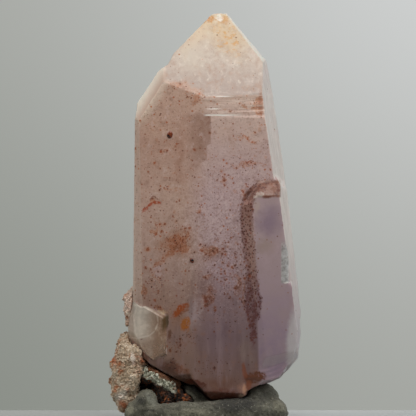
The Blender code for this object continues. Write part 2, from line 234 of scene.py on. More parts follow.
class Signal:
    """One output of a shader node. A sum written with Signals adds the Math nodes that work it out."""

    def __init__(self, recipe, socket):
        self.recipe = recipe
        self.socket = socket

    def math(self, operation, *terms):
        return self.recipe.add("Math", {"operation": operation}, dict(enumerate(terms)))

    def __add__(self, other):
        return self.math("ADD", self, other)

    __radd__ = __add__

    def __sub__(self, other):
        return self.math("SUBTRACT", self, other)

    def __rsub__(self, other):
        return self.math("SUBTRACT", other, self)

    def __mul__(self, other):
        return self.math("MULTIPLY", self, other)

    __rmul__ = __mul__

    def most(self, other):
        return self.math("MAXIMUM", self, other)

    def unsigned(self):
        return self.math("ABSOLUTE", self)

    def below(self, other):
        """1 where this is less than the other, and 0 elsewhere."""
        return self.math("LESS_THAN", self, other)

    def rise(self, low, high):
        """0 up to low, 1 from high on, and a soft slope between. low may be the larger one."""
        sockets = {"Value": self, "From Min": min(low, high), "From Max": max(low, high)}
        if low > high:
            sockets.update({"To Min": 1.0, "To Max": 0.0})
        return self.recipe.add("MapRange", {"interpolation_type": "SMOOTHSTEP"}, sockets)

    def between(self, start, full, fade, end):
        """0 outside start and end, 1 from full to fade, and soft slopes between."""
        return self.rise(start, full) * self.rise(end, fade)

    def coat(self, share, colour, blend="MIX"):
        """This colour under a coat of another one, as thick as its share."""
        return self.recipe.mix(share, self, colour, blend)


def tint(colour):
    """A colour as read off a screen, three numbers up to 255, as the linear one that shaders use.

    A link passes as it is, and so does a linear colour, which has four numbers.
    """
    if isinstance(colour, Signal) or len(colour) == 4:
        return colour
    shares = [value / 255 for value in colour]
    return (*[v / 12.92 if v <= 0.04045 else ((v + 0.055) / 1.055) ** 2.4 for v in shares], 1.0)


# %% Recipes


class Recipe:
    """A material's nodes."""

    def __init__(self, name):
        self.material = bpy.data.materials.new(name)
        self.material.use_nodes = True
        self.tree = self.material.node_tree
        self.tree.nodes.clear()
        here = self.add("TexCoord", output="Object")
        self.place = self.stretch(here, (MM, MM, MM))
        parts = self.add("SeparateXYZ", {}, {"Vector": self.place})
        self.x, self.y, self.z = (Signal(self, socket) for socket in parts.socket.node.outputs)
        facing = self.add("SeparateXYZ", {}, {"Vector": self.add("NewGeometry", output="Normal")})
        self.nx, self.ny, self.nz = (Signal(self, socket) for socket in facing.socket.node.outputs)

    def add(self, kind, settings=None, inputs=None, output=0):
        """Adds a node by its type, then its settings, then the values or links of its sockets."""
        node = self.tree.nodes.new("ShaderNode" + kind)
        for name, value in (settings or {}).items():
            if name == "stops":
                self.set_stops(node.color_ramp.elements, value)
            elif name == "points":
                self.set_points(node.mapping, value)
            else:
                setattr(node, name, value)
        for key, value in (inputs or {}).items():
            if isinstance(value, Signal):
                self.tree.links.new(value.socket, node.inputs[key])
            else:
                node.inputs[key].default_value = value
        return Signal(self, node.outputs[output])

    def set_stops(self, elements, stops):
        while len(elements) < len(stops):
            elements.new(0.5)
        for element, (position, colour) in zip(elements, stops):
            element.position = position
            element.color = tint(colour)

    def set_points(self, mapping, points):
        curve = mapping.curves[0]
        while len(curve.points) < len(points):
            curve.points.new(0.5, 0.5)
        for point, place in zip(curve.points, points):
            point.location = place
        mapping.update()

    def vector(self, operation, *terms, **named):
        return self.add("VectorMath", {"operation": operation}, {**dict(enumerate(terms)), **named})

    def ramp(self, value, places, colours):
        return self.add("ValToRGB", {"stops": list(zip(places, colours))}, {"Fac": value})

    def mix(self, share, first, second, blend="MIX"):
        """A mix of two colours. Sockets 6 and 7 of the Mix node are its colours A and B."""
        return self.add(
            "Mix", {"data_type": "RGBA", "blend_type": blend},
            {0: share, 6: tint(first), 7: tint(second)}, output=2,
        )

    def noise(self, grain, detail=2.0, roughness=0.5, where=None, output="Fac"):
        """Soft noise whose patches are about grain millimetres across."""
        return self.add("TexNoise", {}, {
            "Vector": where or self.place, "Scale": 1 / grain, "Detail": detail, "Roughness": roughness,
        }, output)

    def stretch(self, where, scale, turn=(0, 0, 0), centre=(0, 0, 0)):
        """The same place measured from a centre with a turned and stretched ruler."""
        return self.add(
            "Mapping", {"vector_type": "TEXTURE"},
            {"Vector": where, "Location": centre, "Rotation": turn, "Scale": scale},
        )

    def drawn_out(self, x, y, z):
        return self.stretch(self.place, (x, y, z))

    def wobbled(self, grain, reach, detail=2):
        """The place, pushed about by up to reach millimetres, so that soft masks lose their drawn look."""
        swirl = self.noise(grain, detail, 0.6, output="Color")
        push = self.vector("SUBTRACT", swirl, (0.5, 0.5, 0.5))
        return self.vector("ADD", self.place, self.vector("SCALE", push, Scale=2 * reach))

    def spot(self, where, x, z, wide, high, turn=0, core=0.3):
        """A soft oval on the front view: its middle and radii in millimetres, and its turn in degrees."""
        ruler = self.stretch(where, (wide, 1000, high), (0, math.radians(turn), 0), (x, 0, z))
        ball = self.add("TexGradient", {"gradient_type": "SPHERICAL"}, {"Vector": ruler}, "Fac")
        return ball.rise(0.0, 1.0 - core)

    def spots(self, where, ovals):
        """Soft ovals as one mask. The last number of each is its strength."""
        whole = None
        for *oval, strength in ovals:
            one = self.spot(where, *oval)
            if strength != 1:
                one = one * strength
            whole = one if whole is None else whole.most(one)
        return whole

    def stroke(self, where, points, width):
        """A soft line on the front view through the points (x, z), as a chain of thin ovals."""
        ovals = []
        for (x1, z1), (x2, z2) in zip(points, points[1:]):
            half = math.dist((x1, z1), (x2, z2)) / 2
            turn = -math.degrees(math.atan2(z2 - z1, x2 - x1))
            ovals.append(((x1 + x2) / 2, (z1 + z2) / 2, half * 1.2 + width, width, turn, 0.3, 1))
        return self.spots(where, ovals)

    def bump(self, height, depth, under=None):
        """A relief of the given depth in millimetres, over another relief if there is one."""
        inputs = {"Strength": 1.0, "Distance": depth * MM, "Height": height}
        if under is not None:
            inputs["Normal"] = under
        return self.add("Bump", {}, inputs, "Normal")

    def principled(self, sockets, **settings):
        return self.add("BsdfPrincipled", settings, sockets, "BSDF")

    def dress(self, pieces, shader, volume=None):
        """Ends the recipe with its shader, and gives the material to the pieces."""
        out = self.tree.nodes.new("ShaderNodeOutputMaterial")
        self.tree.links.new(shader.socket, out.inputs["Surface"])
        if volume is not None:
            self.tree.links.new(volume.socket, out.inputs["Volume"])
        for piece in pieces:
            piece.data.materials.append(self.material)
        print(self.material.name, "has", len(self.tree.nodes), "nodes")


# %% [markdown]
# ## The stage
#
# The view is almost level and comes through a long lens from far away, which keeps the crystal's edges
# parallel. The camera looks at a point a little above the middle.

# %% The camera
CAMERA_DISTANCE = 1.6
CAMERA_ELEVATION = math.radians(1.5)
VIEW_HEIGHT = 79.04 * MM
SENSOR_WIDTH = 36.0
AIM = Vector((0.665, -6.0, 40.1)) * MM

camera_data = bpy.data.cameras.new("camera")
camera = new_object("camera", camera_data)
camera_data.sensor_width = SENSOR_WIDTH
camera_data.lens = SENSOR_WIDTH * CAMERA_DISTANCE / VIEW_HEIGHT
camera_data.clip_start = 0.1
camera_data.clip_end = 20.0
back = Vector((0, -math.cos(CAMERA_ELEVATION), math.sin(CAMERA_ELEVATION)))
camera.location = AIM + back * CAMERA_DISTANCE
camera.rotation_euler = Euler((math.pi / 2 - CAMERA_ELEVATION, 0, 0))
bpy.context.scene.camera = camera
print(f"camera lens {camera_data.lens:.0f} mm")

# %% [markdown]
# The ground is a broad pale slab with a softened edge, with painted shade that makes it a little darker on the
# left.
# Behind it stands one big sheet, painted with a slow change from dark to light, up and to the right. The sheet
# shines by itself, so that no lamp's shape shows on it.

# %% The ground
TABLE_EDGE = 27.0 * MM
TABLE_SIZE = (0.9, 0.6, 0.02)

table = start_from(
    bpy.ops.mesh.primitive_cube_add, "table", size=1,
    location=(0, TABLE_EDGE - TABLE_SIZE[1] / 2, -TABLE_SIZE[2] / 2),
)
table.scale = TABLE_SIZE
settle(table)
apply_modifier(table, "BEVEL", width=0.3 * MM, segments=3)
table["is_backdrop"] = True

board = Recipe("pale_table")
board_tone = board.mix(board.noise(40.0, 3), (166, 171, 170), (178, 183, 182))
# Painted shade: the slab darkens towards the left.
board_tone = board_tone.coat(board.x.rise(-9.0, -24.0), (142, 146, 142))
board.dress([table], board.principled({"Base Color": board_tone, "Roughness": 0.55}))
tell(table)

# %% The sheet behind
WALL_AWAY = 2.2

wall = start_from(
    bpy.ops.mesh.primitive_plane_add, "wall", size=3.0,
    location=(0, WALL_AWAY, 0.0), rotation=(math.pi / 2, 0, 0),
)
settle(wall)
edit(wall)
bpy.ops.mesh.subdivide(number_cuts=4)
close_edit()
wall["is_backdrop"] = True

dusk = Recipe("grey_wall")
across = dusk.x.rise(-150.0, 150.0)
upwards = dusk.z.rise(-130.0, 130.0)
low_tone = dusk.mix(across, (136, 140, 133), (166, 168, 163))
high_tone = dusk.mix(across, (168, 170, 165), (212, 214, 214))
wall_tone = dusk.mix(upwards, low_tone, high_tone)
dusk.dress([wall], dusk.add("Emission", {}, {"Color": wall_tone, "Strength": 1.0}))
tell(wall)

# %% [markdown]
# One soft lamp hangs above and in front, so that the faces of the tip, which lean back, are the brightest. A
# second one on the right lights the narrow side faces, a weak one on the left keeps the shadows open, and
# one behind lifts the edges. The sky around is an even grey.

# %% The lamps
# Each lamp: name, place and width in metres, power in watts, colour
LAMPS = [
    ("lamp_above", (0.04, -0.15, 0.24), 0.13, 0.32, (1.0, 0.97, 0.93)),
    ("lamp_right", (0.42, -0.05, 0.30), 0.25, 0.9, (0.98, 0.99, 1.0)),
    ("lamp_left", (-0.34, -0.10, 0.33), 0.22, 0.75, (1.0, 0.98, 0.95)),
    ("lamp_behind", (-0.10, 0.55, 0.40), 0.35, 0.9, (1.0, 1.0, 1.0)),
]
LAMPS_AIM = Vector((0, 0, 0.04))
SKY_COLOUR = (0.42, 0.43, 0.42, 1.0)
SKY_STRENGTH = 0.25

for name, place, width, power, colour in LAMPS:
    light = bpy.data.lights.new(name, "AREA")
    light.shape = "SQUARE"
    light.size = width
    light.energy = power
    light.color = colour
    lamp = new_object(name, light)
    lamp.location = place
    lamp.rotation_euler = (LAMPS_AIM - lamp.location).to_track_quat("-Z", "Y").to_euler()
    lamp.visible_camera = False

world = bpy.data.worlds.new("soft_grey")
bpy.context.scene.world = world
world.use_nodes = True
world.node_tree.nodes["Background"].inputs["Color"].default_value = SKY_COLOUR
world.node_tree.nodes["Background"].inputs["Strength"].default_value = SKY_STRENGTH
bpy.context.scene.view_settings.view_transform = "Standard"
print(len(LAMPS), "lamps and a grey sky")

# %% [markdown]
# ## The clear crystal at the lower left
#
# One of the crystals that grew against the main point is clear, so it is a piece of its own: a block of
# glass let into the milky body. A crystal is the space between flat faces. The easy way to model it by hand
# is to start from a block and cut one face after the other with Bisect, which also closes each cut.

# %% Cutting a crystal from a block


def outward(azimuth, lean):
    """The outward direction of a face. Azimuth 0 faces the viewer and 90 the right, lean is up from level."""
    a = math.radians(azimuth)
    e = math.radians(lean)
    return Vector((math.sin(a) * math.cos(e), -math.cos(a) * math.cos(e), math.sin(e)))


def cut_crystal(name, middle, faces, margin=0.0):
    """A block of 40 mm round the middle, cut by each face, which stands margin further out."""
    crystal = start_from(
        bpy.ops.mesh.primitive_cube_add, name, size=40 * MM, location=Vector(middle) * MM,
    )
    settle(crystal)
    for azimuth, lean, point in faces:
        normal = outward(azimuth, lean)
        cut_off(crystal, (Vector(point) + margin * normal) * MM, normal)
    return crystal


# Each face: azimuth and lean in degrees, and a point on it in millimetres
CLEAR_FACES = [
    (-18, 2.0, (-10.0, -9.3, 18.0)), (-62, 9.5, (-14.7, -5.5, 16.5)), (-118, 9.5, (-14.7, -5.5, 16.5)),
    (-25, 62.0, (-12.0, -8.2, 21.4)), (20, 50.0, (-8.6, -9.4, 19.9)), (52, 3.0, (-7.2, -9.4, 16.0)),
    (-70, -22.0, (-12.8, -8.5, 15.4)), (-80, -50, (-14.9, -5.0, 15.0)), (165, 4.0, (-11.0, -5.2, 16.0)),
    (0, -90, (0, 0, 9.4)), (10, -42, (-9.0, -9.3, 11.5)),
]
CLEAR_MIDDLE = (-11.0, -7.0, 15.5)

clear_crystal = cut_crystal("clear_crystal", CLEAR_MIDDLE, CLEAR_FACES)
apply_modifier(clear_crystal, "BEVEL", width=0.09 * MM, segments=2, limit_method="ANGLE", angle_limit=0.1)
tell(clear_crystal)

# %% [markdown]
# ## The milky body
#
# The body starts from the node's own skin. The voxel remesh gives an even skin of small faces, which rounds
# the edges a little, as on the worn real point, and gives the relief room to work in. Where the clear
# crystal sits, a pocket is cut for it, a hair larger all round so that the two skins never touch.

# %% The body's skin
BODY_VOXEL = 0.21

body = skin_of("amethyst_point", "crystal_body", BODY_VOXEL)
tell(body)

# %% [markdown]
# Quartz is never quite flat. The narrow faces on the right carry fine upright steps, the top of the front
# has level growth lines, the whole skin undulates a little, and the lower right ends in the shell-shaped
# ripples of an old break. Each relief is a procedural texture that is pressed in where a vertex group
# allows it, and the ripples are moved in code, because they run round a point.

# %% The relief of the skin
right_side = group_by(body, "right_side", lambda at, n: ease(n[0], 0.45, 0.8) * ease(-n[2], -0.4, -0.3))
tip_zone = group_by(body, "tip_zone", lambda at, n: ease(n[2], 0.3, 0.5))
crest = group_by(body, "crest", lambda at, n: ease(at[2], 75.0, 76.2))
upper_front = group_by(
    body, "upper_front",
    lambda at, n: ease(-n[1], 0.7, 0.9) * ease(at[2], 54.0, 57.0) * (1 - ease(at[2], 62.0, 63.5)),
)
emboss(body, "CLOUDS", 9.0, 0.10, noise_depth=1)
emboss(body, "CLOUDS", 0.9, 0.07, right_side, (1, 1, 60), noise_depth=1)
emboss(body, "CLOUDS", 0.5, 0.05, upper_front, (60, 60, 1), noise_depth=1)
emboss(body, "CLOUDS", 1.3, 0.06, tip_zone, (3, 1, 1), noise_depth=2)
emboss(body, "CLOUDS", 1.2, 0.45, crest, noise_depth=2)

RIPPLE_CENTRE = (9.5, -9.0, 19.0)
RIPPLE_START = 8.2
RIPPLE_SPACING = 0.85
RIPPLE_DEPTH = 0.07


def ripple(piece, centre, start, spacing, depth):
    """Shell-shaped ripples round a point, which start at a radius and fade out behind the front."""
    place, normal = corners_of(piece)
    away = np.linalg.norm(place - np.array(centre), axis=1)
    share = ease(away, start, start + 1.5) * ease(centre[2] - place[:, 2], -1.0, 1.0)
    share *= ease(place[:, 0], centre[0] - 2.0, centre[0] + 1.0) * ease(-normal[:, 1], -0.3, 0.1)
    press = depth * share * (0.5 + 0.5 * np.sin(away * math.tau / spacing))
    place -= normal * press[:, None]
    piece.data.vertices.foreach_set("co", (place * MM).ravel())
    piece.data.update()


ripple(body, RIPPLE_CENTRE, RIPPLE_START, RIPPLE_SPACING, RIPPLE_DEPTH)
print("relief pressed into", len(body.data.vertices), "corners")

# %% The pocket for the clear crystal
SEAM = 0.03
BODY_SHARE_KEPT = 0.5
SHARP_ANGLE = math.radians(35)

pocket = cut_crystal("pocket", CLEAR_MIDDLE, CLEAR_FACES, SEAM)
apply_modifier(body, "DECIMATE", ratio=BODY_SHARE_KEPT)
apply_modifier(body, "BOOLEAN", operation="DIFFERENCE", solver="EXACT", object=pocket)
bpy.data.objects.remove(pocket)
take(body)
bpy.ops.object.shade_smooth_by_angle(angle=SHARP_ANGLE)
body.vertex_groups.clear()
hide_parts("amethyst_point")
tell(body)

# %% [markdown]
# ## The colour of the body
#
# The body is milky quartz, pale and frosted on the tip, browner on the left, more lilac on the right and at
# the foot. Light goes a few millimetres into it and comes out again, which is what subsurface scattering
# does. The tones run into each other without edges, so each is a soft oval with a place, a size and a
# strength, laid over a base that fades from left to right. A little noise bends all their outlines.

# %% The body's recipe
skin = Recipe("milky_amethyst")
bent = skin.wobbled(3.0, 2.0, 5)
nudged = skin.wobbled(0.7, 0.3)
ragged = skin.wobbled(1.1, 1.1, 6)
left_bevel = skin.nx.rise(-0.4, -0.7) * skin.ny.rise(0.1, -0.2)
front = skin.ny.rise(-0.3, -0.65).most(left_bevel)
print("the front and its bevel are masked")

# %% [markdown]
# Down the height the colour goes from a warm pale pink to a dusky brown-lilac, and the darkening towards the
# foot is partly painted shade, as the light falls from above. The left half is browner and the right half
# cooler, so there is one colour ramp for each, and a wandering seam between them.

# %% Two ramps down the height
TOP = 77.0
HEIGHTS = (0.0, 0.1, 0.2, 0.3, 0.4, 0.55, 0.68, 0.8)
LEFT_TONES = (
    (98, 67, 50), (120, 93, 79), (138, 110, 101), (155, 124, 110),
    (178, 149, 137), (192, 160, 145), (186, 150, 133), (198, 164, 146),
)
RIGHT_TONES = (
    (108, 74, 58), (117, 88, 80), (120, 96, 99), (141, 115, 118),
    (176, 149, 150), (192, 165, 165), (196, 168, 161), (212, 184, 168),
)
height = skin.z * (1 / TOP)
# The low end of both ramps is darker partly as painted shade.
left_tone = skin.ramp(height, HEIGHTS, LEFT_TONES)
right_tone = skin.ramp(height, HEIGHTS, RIGHT_TONES)
seam_wander = (skin.noise(3.2, 4, 0.6, skin.drawn_out(1, 1, 3)) - 0.5) * 5.0
toned = skin.mix((skin.x + seam_wander).rise(-4.5, 2.5), left_tone, right_tone)
print("two ramps of", len(HEIGHTS), "tones")

# %% Soft tones of the front
# Each tone: middle x and z, radii, turn, colour, strength
TONES = [
    (-9.6, 55.5, 3.4, 3.6, 0, (204, 168, 148), 0.5),  # pale upper left
    (-4.6, 50.0, 1.5, 9.0, 0, (172, 130, 110), 0.7),  # brown strip on the left
    (3.4, 54.6, 2.0, 3.4, 0, (206, 176, 162), 0.6),  # pale strip beyond the veil
    (5.2, 53.6, 1.0, 4.4, 0, (188, 154, 138), 0.5),  # darker strip after it
    (9.0, 55.0, 3.2, 4.6, 0, (210, 182, 170), 0.6),  # pale right edge
    (7.0, 47.6, 5.0, 2.4, -8, (190, 162, 160), 0.6),  # grey lilac over the side crystal
    (2.6, 38.0, 3.6, 7.4, 0, (196, 170, 170), 0.75),  # pale window
    (-5.8, 33.2, 5.4, 3.6, -25, (162, 116, 89), 0.8),  # brown haze
    (1.2, 31.6, 3.6, 2.2, 0, (152, 112, 92), 0.7),  # orange smudge
    (-8.6, 28.6, 2.0, 2.6, 0, (182, 156, 154), 0.75),  # small pale window
    (4.2, 28.0, 3.4, 5.6, 0, (172, 147, 154), 0.6),  # lilac left of the band
    (0.7, 23.6, 2.2, 4.6, 12, (126, 86, 74), 0.7),  # brown trail
    (-1.8, 20.4, 1.8, 4.0, 0, (164, 144, 145), 0.85),  # pale patch by the flakes
    (2.6, 17.0, 5.4, 7.4, 0, (118, 92, 96), 0.7),  # lilac heart
    (3.4, 17.0, 2.2, 2.8, 0, (104, 80, 88), 0.6),  # dark eye
    (8.0, 13.0, 2.2, 4.4, 0, (136, 114, 106), 0.7),  # grey right of the heart
    (-5.4, 19.5, 2.6, 3.0, 0, (138, 96, 70), 0.6),  # brown beside the clear crystal
    (-7.0, 9.8, 5.8, 2.3, 30, (84, 56, 42), 0.95),  # dark brown foot on the left
    (-7.6, 13.4, 3.2, 2.6, 20, (150, 123, 106), 0.6),  # grey brown below the clear crystal
    (3.0, 6.6, 5.4, 2.4, 0, (106, 68, 50), 0.8),  # warm foot
    (7.2, 6.0, 1.0, 2.2, 10, (158, 116, 98), 0.7),  # pale corner of the foot
]
for *oval, colour, strength in TONES:
    toned = toned.coat(skin.spot(bent, *oval, core=0.1) * front * strength, colour)
# Painted light: the left bevel and the outermost left edge are painted paler, as a glow through the thin edge.
left_edge_glow = left_bevel * 0.4 + skin.x.rise(-12.7, -14.0) * front * 0.5
toned = toned.coat(left_edge_glow * skin.z.rise(16.0, 26.0), (232, 208, 192))
print(len(TONES), "soft tones on the front")

# %% [markdown]
# In the upper middle stands a brown painted shadow, as cast to the left by a raised part of the face: it is
# darkest at its sharp right edge, which steps back further down. The shoulder's edge is painted pale, as a
# glow of light running through the thin quartz there. All over the front lies a fine mottling.

# %% The painted shadow, the painted glow of the shoulder and the mottling
# Painted shadow: brown, darkest against a sharp right edge.
step_shadow_edge = 1.25 - 0.75 * skin.z.rise(52.4, 51.9) - 1.6 * skin.z.rise(49.6, 48.0)
step_shadow = (step_shadow_edge - skin.x).rise(-0.12, 0.22) * skin.x.rise(-4.4, -0.6) * skin.z.rise(46.6, 51.0)
step_shadow = step_shadow * skin.z.rise(58.6, 57.6) * front
step_shadow_depth = skin.noise(2.4, 4, 0.6, skin.drawn_out(1, 1, 2)).rise(0.3, 0.7) * 0.35 + 0.6
toned = toned.coat(step_shadow * step_shadow_depth, (156, 118, 100))
# Painted glow: the shoulder's outer edge is painted pale.
past_shoulder = (skin.x + 11.3) * 0.85 - (skin.z - 58.3) * 0.526
painted_glow = past_shoulder.rise(1.9, -0.2) * skin.z.rise(54.0, 59.0) * front
toned = toned.coat(painted_glow * 0.75, (226, 208, 190))
mottle = skin.noise(1.5, 6, 0.72)
toned = toned.coat(mottle.rise(0.5, 0.74) * 0.5, (138, 96, 76))
toned = toned.coat(mottle.rise(0.48, 0.26) * skin.z.rise(14.0, 34.0) * 0.5, (212, 190, 186))
crumbly = skin.noise(0.42, 3, 0.75)
coarse_zone = front * skin.z.rise(12.0, 26.0)
coarse_zone = coarse_zone * (skin.spot(bent, 4.5, 34.0, 13.0, 20.0, core=0.2) * 0.65 + 0.35)
toned = toned.coat(crumbly.rise(0.5, 0.66) * coarse_zone * 0.75, (0.56, 0.44, 0.40, 1.0), "MULTIPLY")
toned = toned.coat(crumbly.rise(0.46, 0.3) * coarse_zone * 0.4, (230, 208, 206))
soft_lines = skin.noise(1.7, 4, 0.6, skin.drawn_out(1, 1, 7))
toned = toned.coat(soft_lines.rise(0.5, 0.7) * skin.z.rise(34.0, 20.0) * 0.4, (150, 126, 130))
toned = toned.coat(soft_lines.rise(0.48, 0.3) * skin.z.rise(34.0, 20.0) * 0.4, (96, 70, 70))
print("veil, glow and mottling are laid on")

# %% [markdown]
# The tip's faces grew last and fastest, and are frosted nearly white. Below them the pale zone ends in a
# clear line, which is level on the right and climbs in steps on the left. The narrow side faces are pale and
# streaked. The small crystal on the right is a cooler, smoother lilac, and beside it the right edge has a
# clear chip that looks grey.

# %% The frosted tip
line = 64.6 - 1.2 * skin.x.rise(-3.6, -2.4) - 1.9 * skin.x.rise(-2.0, 0.6)
line = line + (skin.noise(0.9, 5, 0.65) - 0.5) * 1.6
frost = (skin.z - line).rise(-0.15, 0.25) * front * skin.x.rise(-8.4, -7.6)
frost = frost.most(skin.nz.rise(0.3, 0.45) * (skin.z - line).rise(-0.9, 0.1) * skin.z.rise(40.0, 46.0))
shoulder = skin.nz.rise(0.25, 0.4) * skin.x.rise(-7.0, -8.2) * skin.z.rise(40.0, 46.0)
tip_tone = skin.mix(skin.z.rise(62.0, 70.0), (188, 170, 161), (208, 193, 180))
tip_tone = tip_tone.coat(skin.z.rise(69.0, 76.0), (220, 200, 174))
veins = skin.noise(1.5, 6, 0.7, skin.drawn_out(1, 1, 2.2))
tip_tone = tip_tone.coat(veins.rise(0.5, 0.68) * 0.6, (190, 156, 136))
tip_tone = tip_tone.coat(veins.rise(0.46, 0.3) * 0.75, (232, 220, 208))
wisps = skin.noise(1.0, 5, 0.65, skin.stretch(bent, (1, 1, 2.6)))
tip_tone = tip_tone.coat(wisps.rise(0.5, 0.7) * 0.25, (236, 225, 214))
tip_tone = tip_tone.coat(wisps.rise(0.5, 0.34) * 0.45, (182, 154, 140))
tip_tone = tip_tone.coat(skin.spot(bent, -2.4, 72.0, 2.2, 5.4, 38, 0.2) * 0.4, (228, 202, 166))
tip_tone = tip_tone.coat(skin.spot(bent, -2.6, 69.6, 4.6, 5.4, 0, 0.1) * 0.6, (216, 202, 186))
ochre = skin.spot(bent, 4.4, 72.6, 4.4, 6.6, -38, 0.1).most(skin.z.rise(74.0, 76.2))
ochre_blots = skin.noise(1.0, 5, 0.7, nudged)
tip_tone = tip_tone.coat(ochre * 0.45, (220, 192, 152))
tip_tone = tip_tone.coat(ochre * ochre_blots.rise(0.5, 0.62) * 0.75, (216, 162, 96))
rim = (skin.x - (4.7 + (76.4 - skin.z) * 0.78)).rise(-0.5, -0.1) * skin.nz.rise(0.2, 0.35)
tip_tone = tip_tone.coat(rim * 0.8, (222, 220, 212))
tip_tone = tip_tone.coat(skin.nx.rise(-0.3, -0.6) * 0.4, (200, 162, 136))
print("the tip is frosted")

# %% The pale sides
streaks = skin.noise(0.8, 3, 0.6, skin.drawn_out(1, 1, 40))
side_tone = skin.mix(streaks.rise(0.3, 0.7), (204, 194, 188), (222, 214, 208))
side_tone = side_tone.coat(skin.z.rise(40.0, 8.0), (178, 169, 173))
lobe_side = skin.x.rise(9.6, 8.8) * skin.z.rise(12.5, 11.0)
sides = skin.nx.rise(0.45, 0.75) * (1 - frost) * (1 - lobe_side)
tones = toned.coat(sides, side_tone).coat(frost, tip_tone)
# The shoulder's frosted faces are pale, and painted brightest at their outer edge, as a glow through the thin
# quartz.
shoulder_tone = skin.mix(past_shoulder.rise(-2.4, 0.2), (242, 234, 220), (200, 168, 150))
tones = tones.coat(shoulder, shoulder_tone)
print("sides and shoulder are pale")

# %% The small crystal and the clear chip
crystal_edge = skin.x - (9.6 + (skin.z - 30.0) * -0.03)
small_front = crystal_edge.rise(-0.2, 0.4) * skin.z.rise(43.0, 42.4) * skin.ny.rise(-0.1, -0.35)
small_front = small_front * skin.nx.rise(0.6, 0.4)
# Painted light: the small crystal's downward faces are lifted to a paler lilac against the shade they lie in.
painted_light_underside = small_front * skin.nz.rise(-0.15, -0.3)
lilac = skin.mix(skin.z.rise(10.0, 34.0), (146, 125, 142), (178, 155, 159))
lilac = lilac.coat(skin.noise(3.0, 4, 0.6).rise(0.35, 0.65) * 0.5, (168, 146, 146))
lilac = lilac.coat(skin.spot(bent, 12.4, 37.6, 3.6, 4.2, 0, 0.1) * 0.8, (134, 112, 130))
lilac = lilac.coat(skin.spot(bent, 9.6, 40.4, 0.9, 2.4, 0, 0.2) * 0.7, (186, 164, 154))
lilac = lilac.coat(skin.spot(bent, 11.6, 33.0, 2.2, 2.8, 0, 0.1) * 0.7, (160, 138, 128))
# Painted light on the downward faces.
lilac = lilac.coat(painted_light_underside * 0.35, (196, 178, 180))
tones = tones.coat(small_front * 0.9, lilac)
clear_rim = skin.spot(nudged, 17.0, 15.0, 1.9, 8.0, 3, 0.4) * front
tones = tones.coat(clear_rim * 0.8, (196, 190, 190))
chip = skin.x.between(14.4, 14.7, 15.8, 16.1) * skin.z.rise(25.7, 26.1) * skin.z.rise(34.8, 32.0)
chip_tone = skin.mix(skin.noise(0.7, 5, 0.7).rise(0.35, 0.7), (142, 141, 138), (202, 203, 202))
tones = tones.coat(chip * front * 0.85, chip_tone)
print("the small crystal is lilac")

# %% [markdown]
# ## Iron
#
# The amethyst is full of red-brown specks of iron oxide. They are one to four tenths of a millimetre
# across, lie in clouds and rows, and are thickest in a dark band that runs down beside the small crystal. A
# Voronoi texture gives every cell one point, so a small circle round that point is one speck, and the cell's
# random colour decides if it is there at all. The chance is high in the clouds and low between them. The
# larger specks have a rusty halo.

# %% A layer of specks


def specks(recipe, where, grain, radius, chance, rusty=False):
    """One layer of specks as (mask, random share, halo). Their spacing and radius are in millimetres."""
    near = recipe.add("TexVoronoi", {}, {"Vector": where, "Scale": 1 / grain}, "Distance")
    dice = recipe.add("SeparateColor", {}, {"Color": Signal(recipe, near.socket.node.outputs["Color"])})
    other_die = Signal(recipe, dice.socket.node.outputs[1])
    size = radius / grain
    reach = (other_die * 0.9 + 0.5) * size
    there = dice.below(chance)
    drawn = (reach - near).rise(-0.12 * size, 0.3 * size) * there
    halo = (reach * 2.0 - near).rise(-0.2 * size, 1.0 * size) * there if rusty else None
    return drawn, other_die, halo


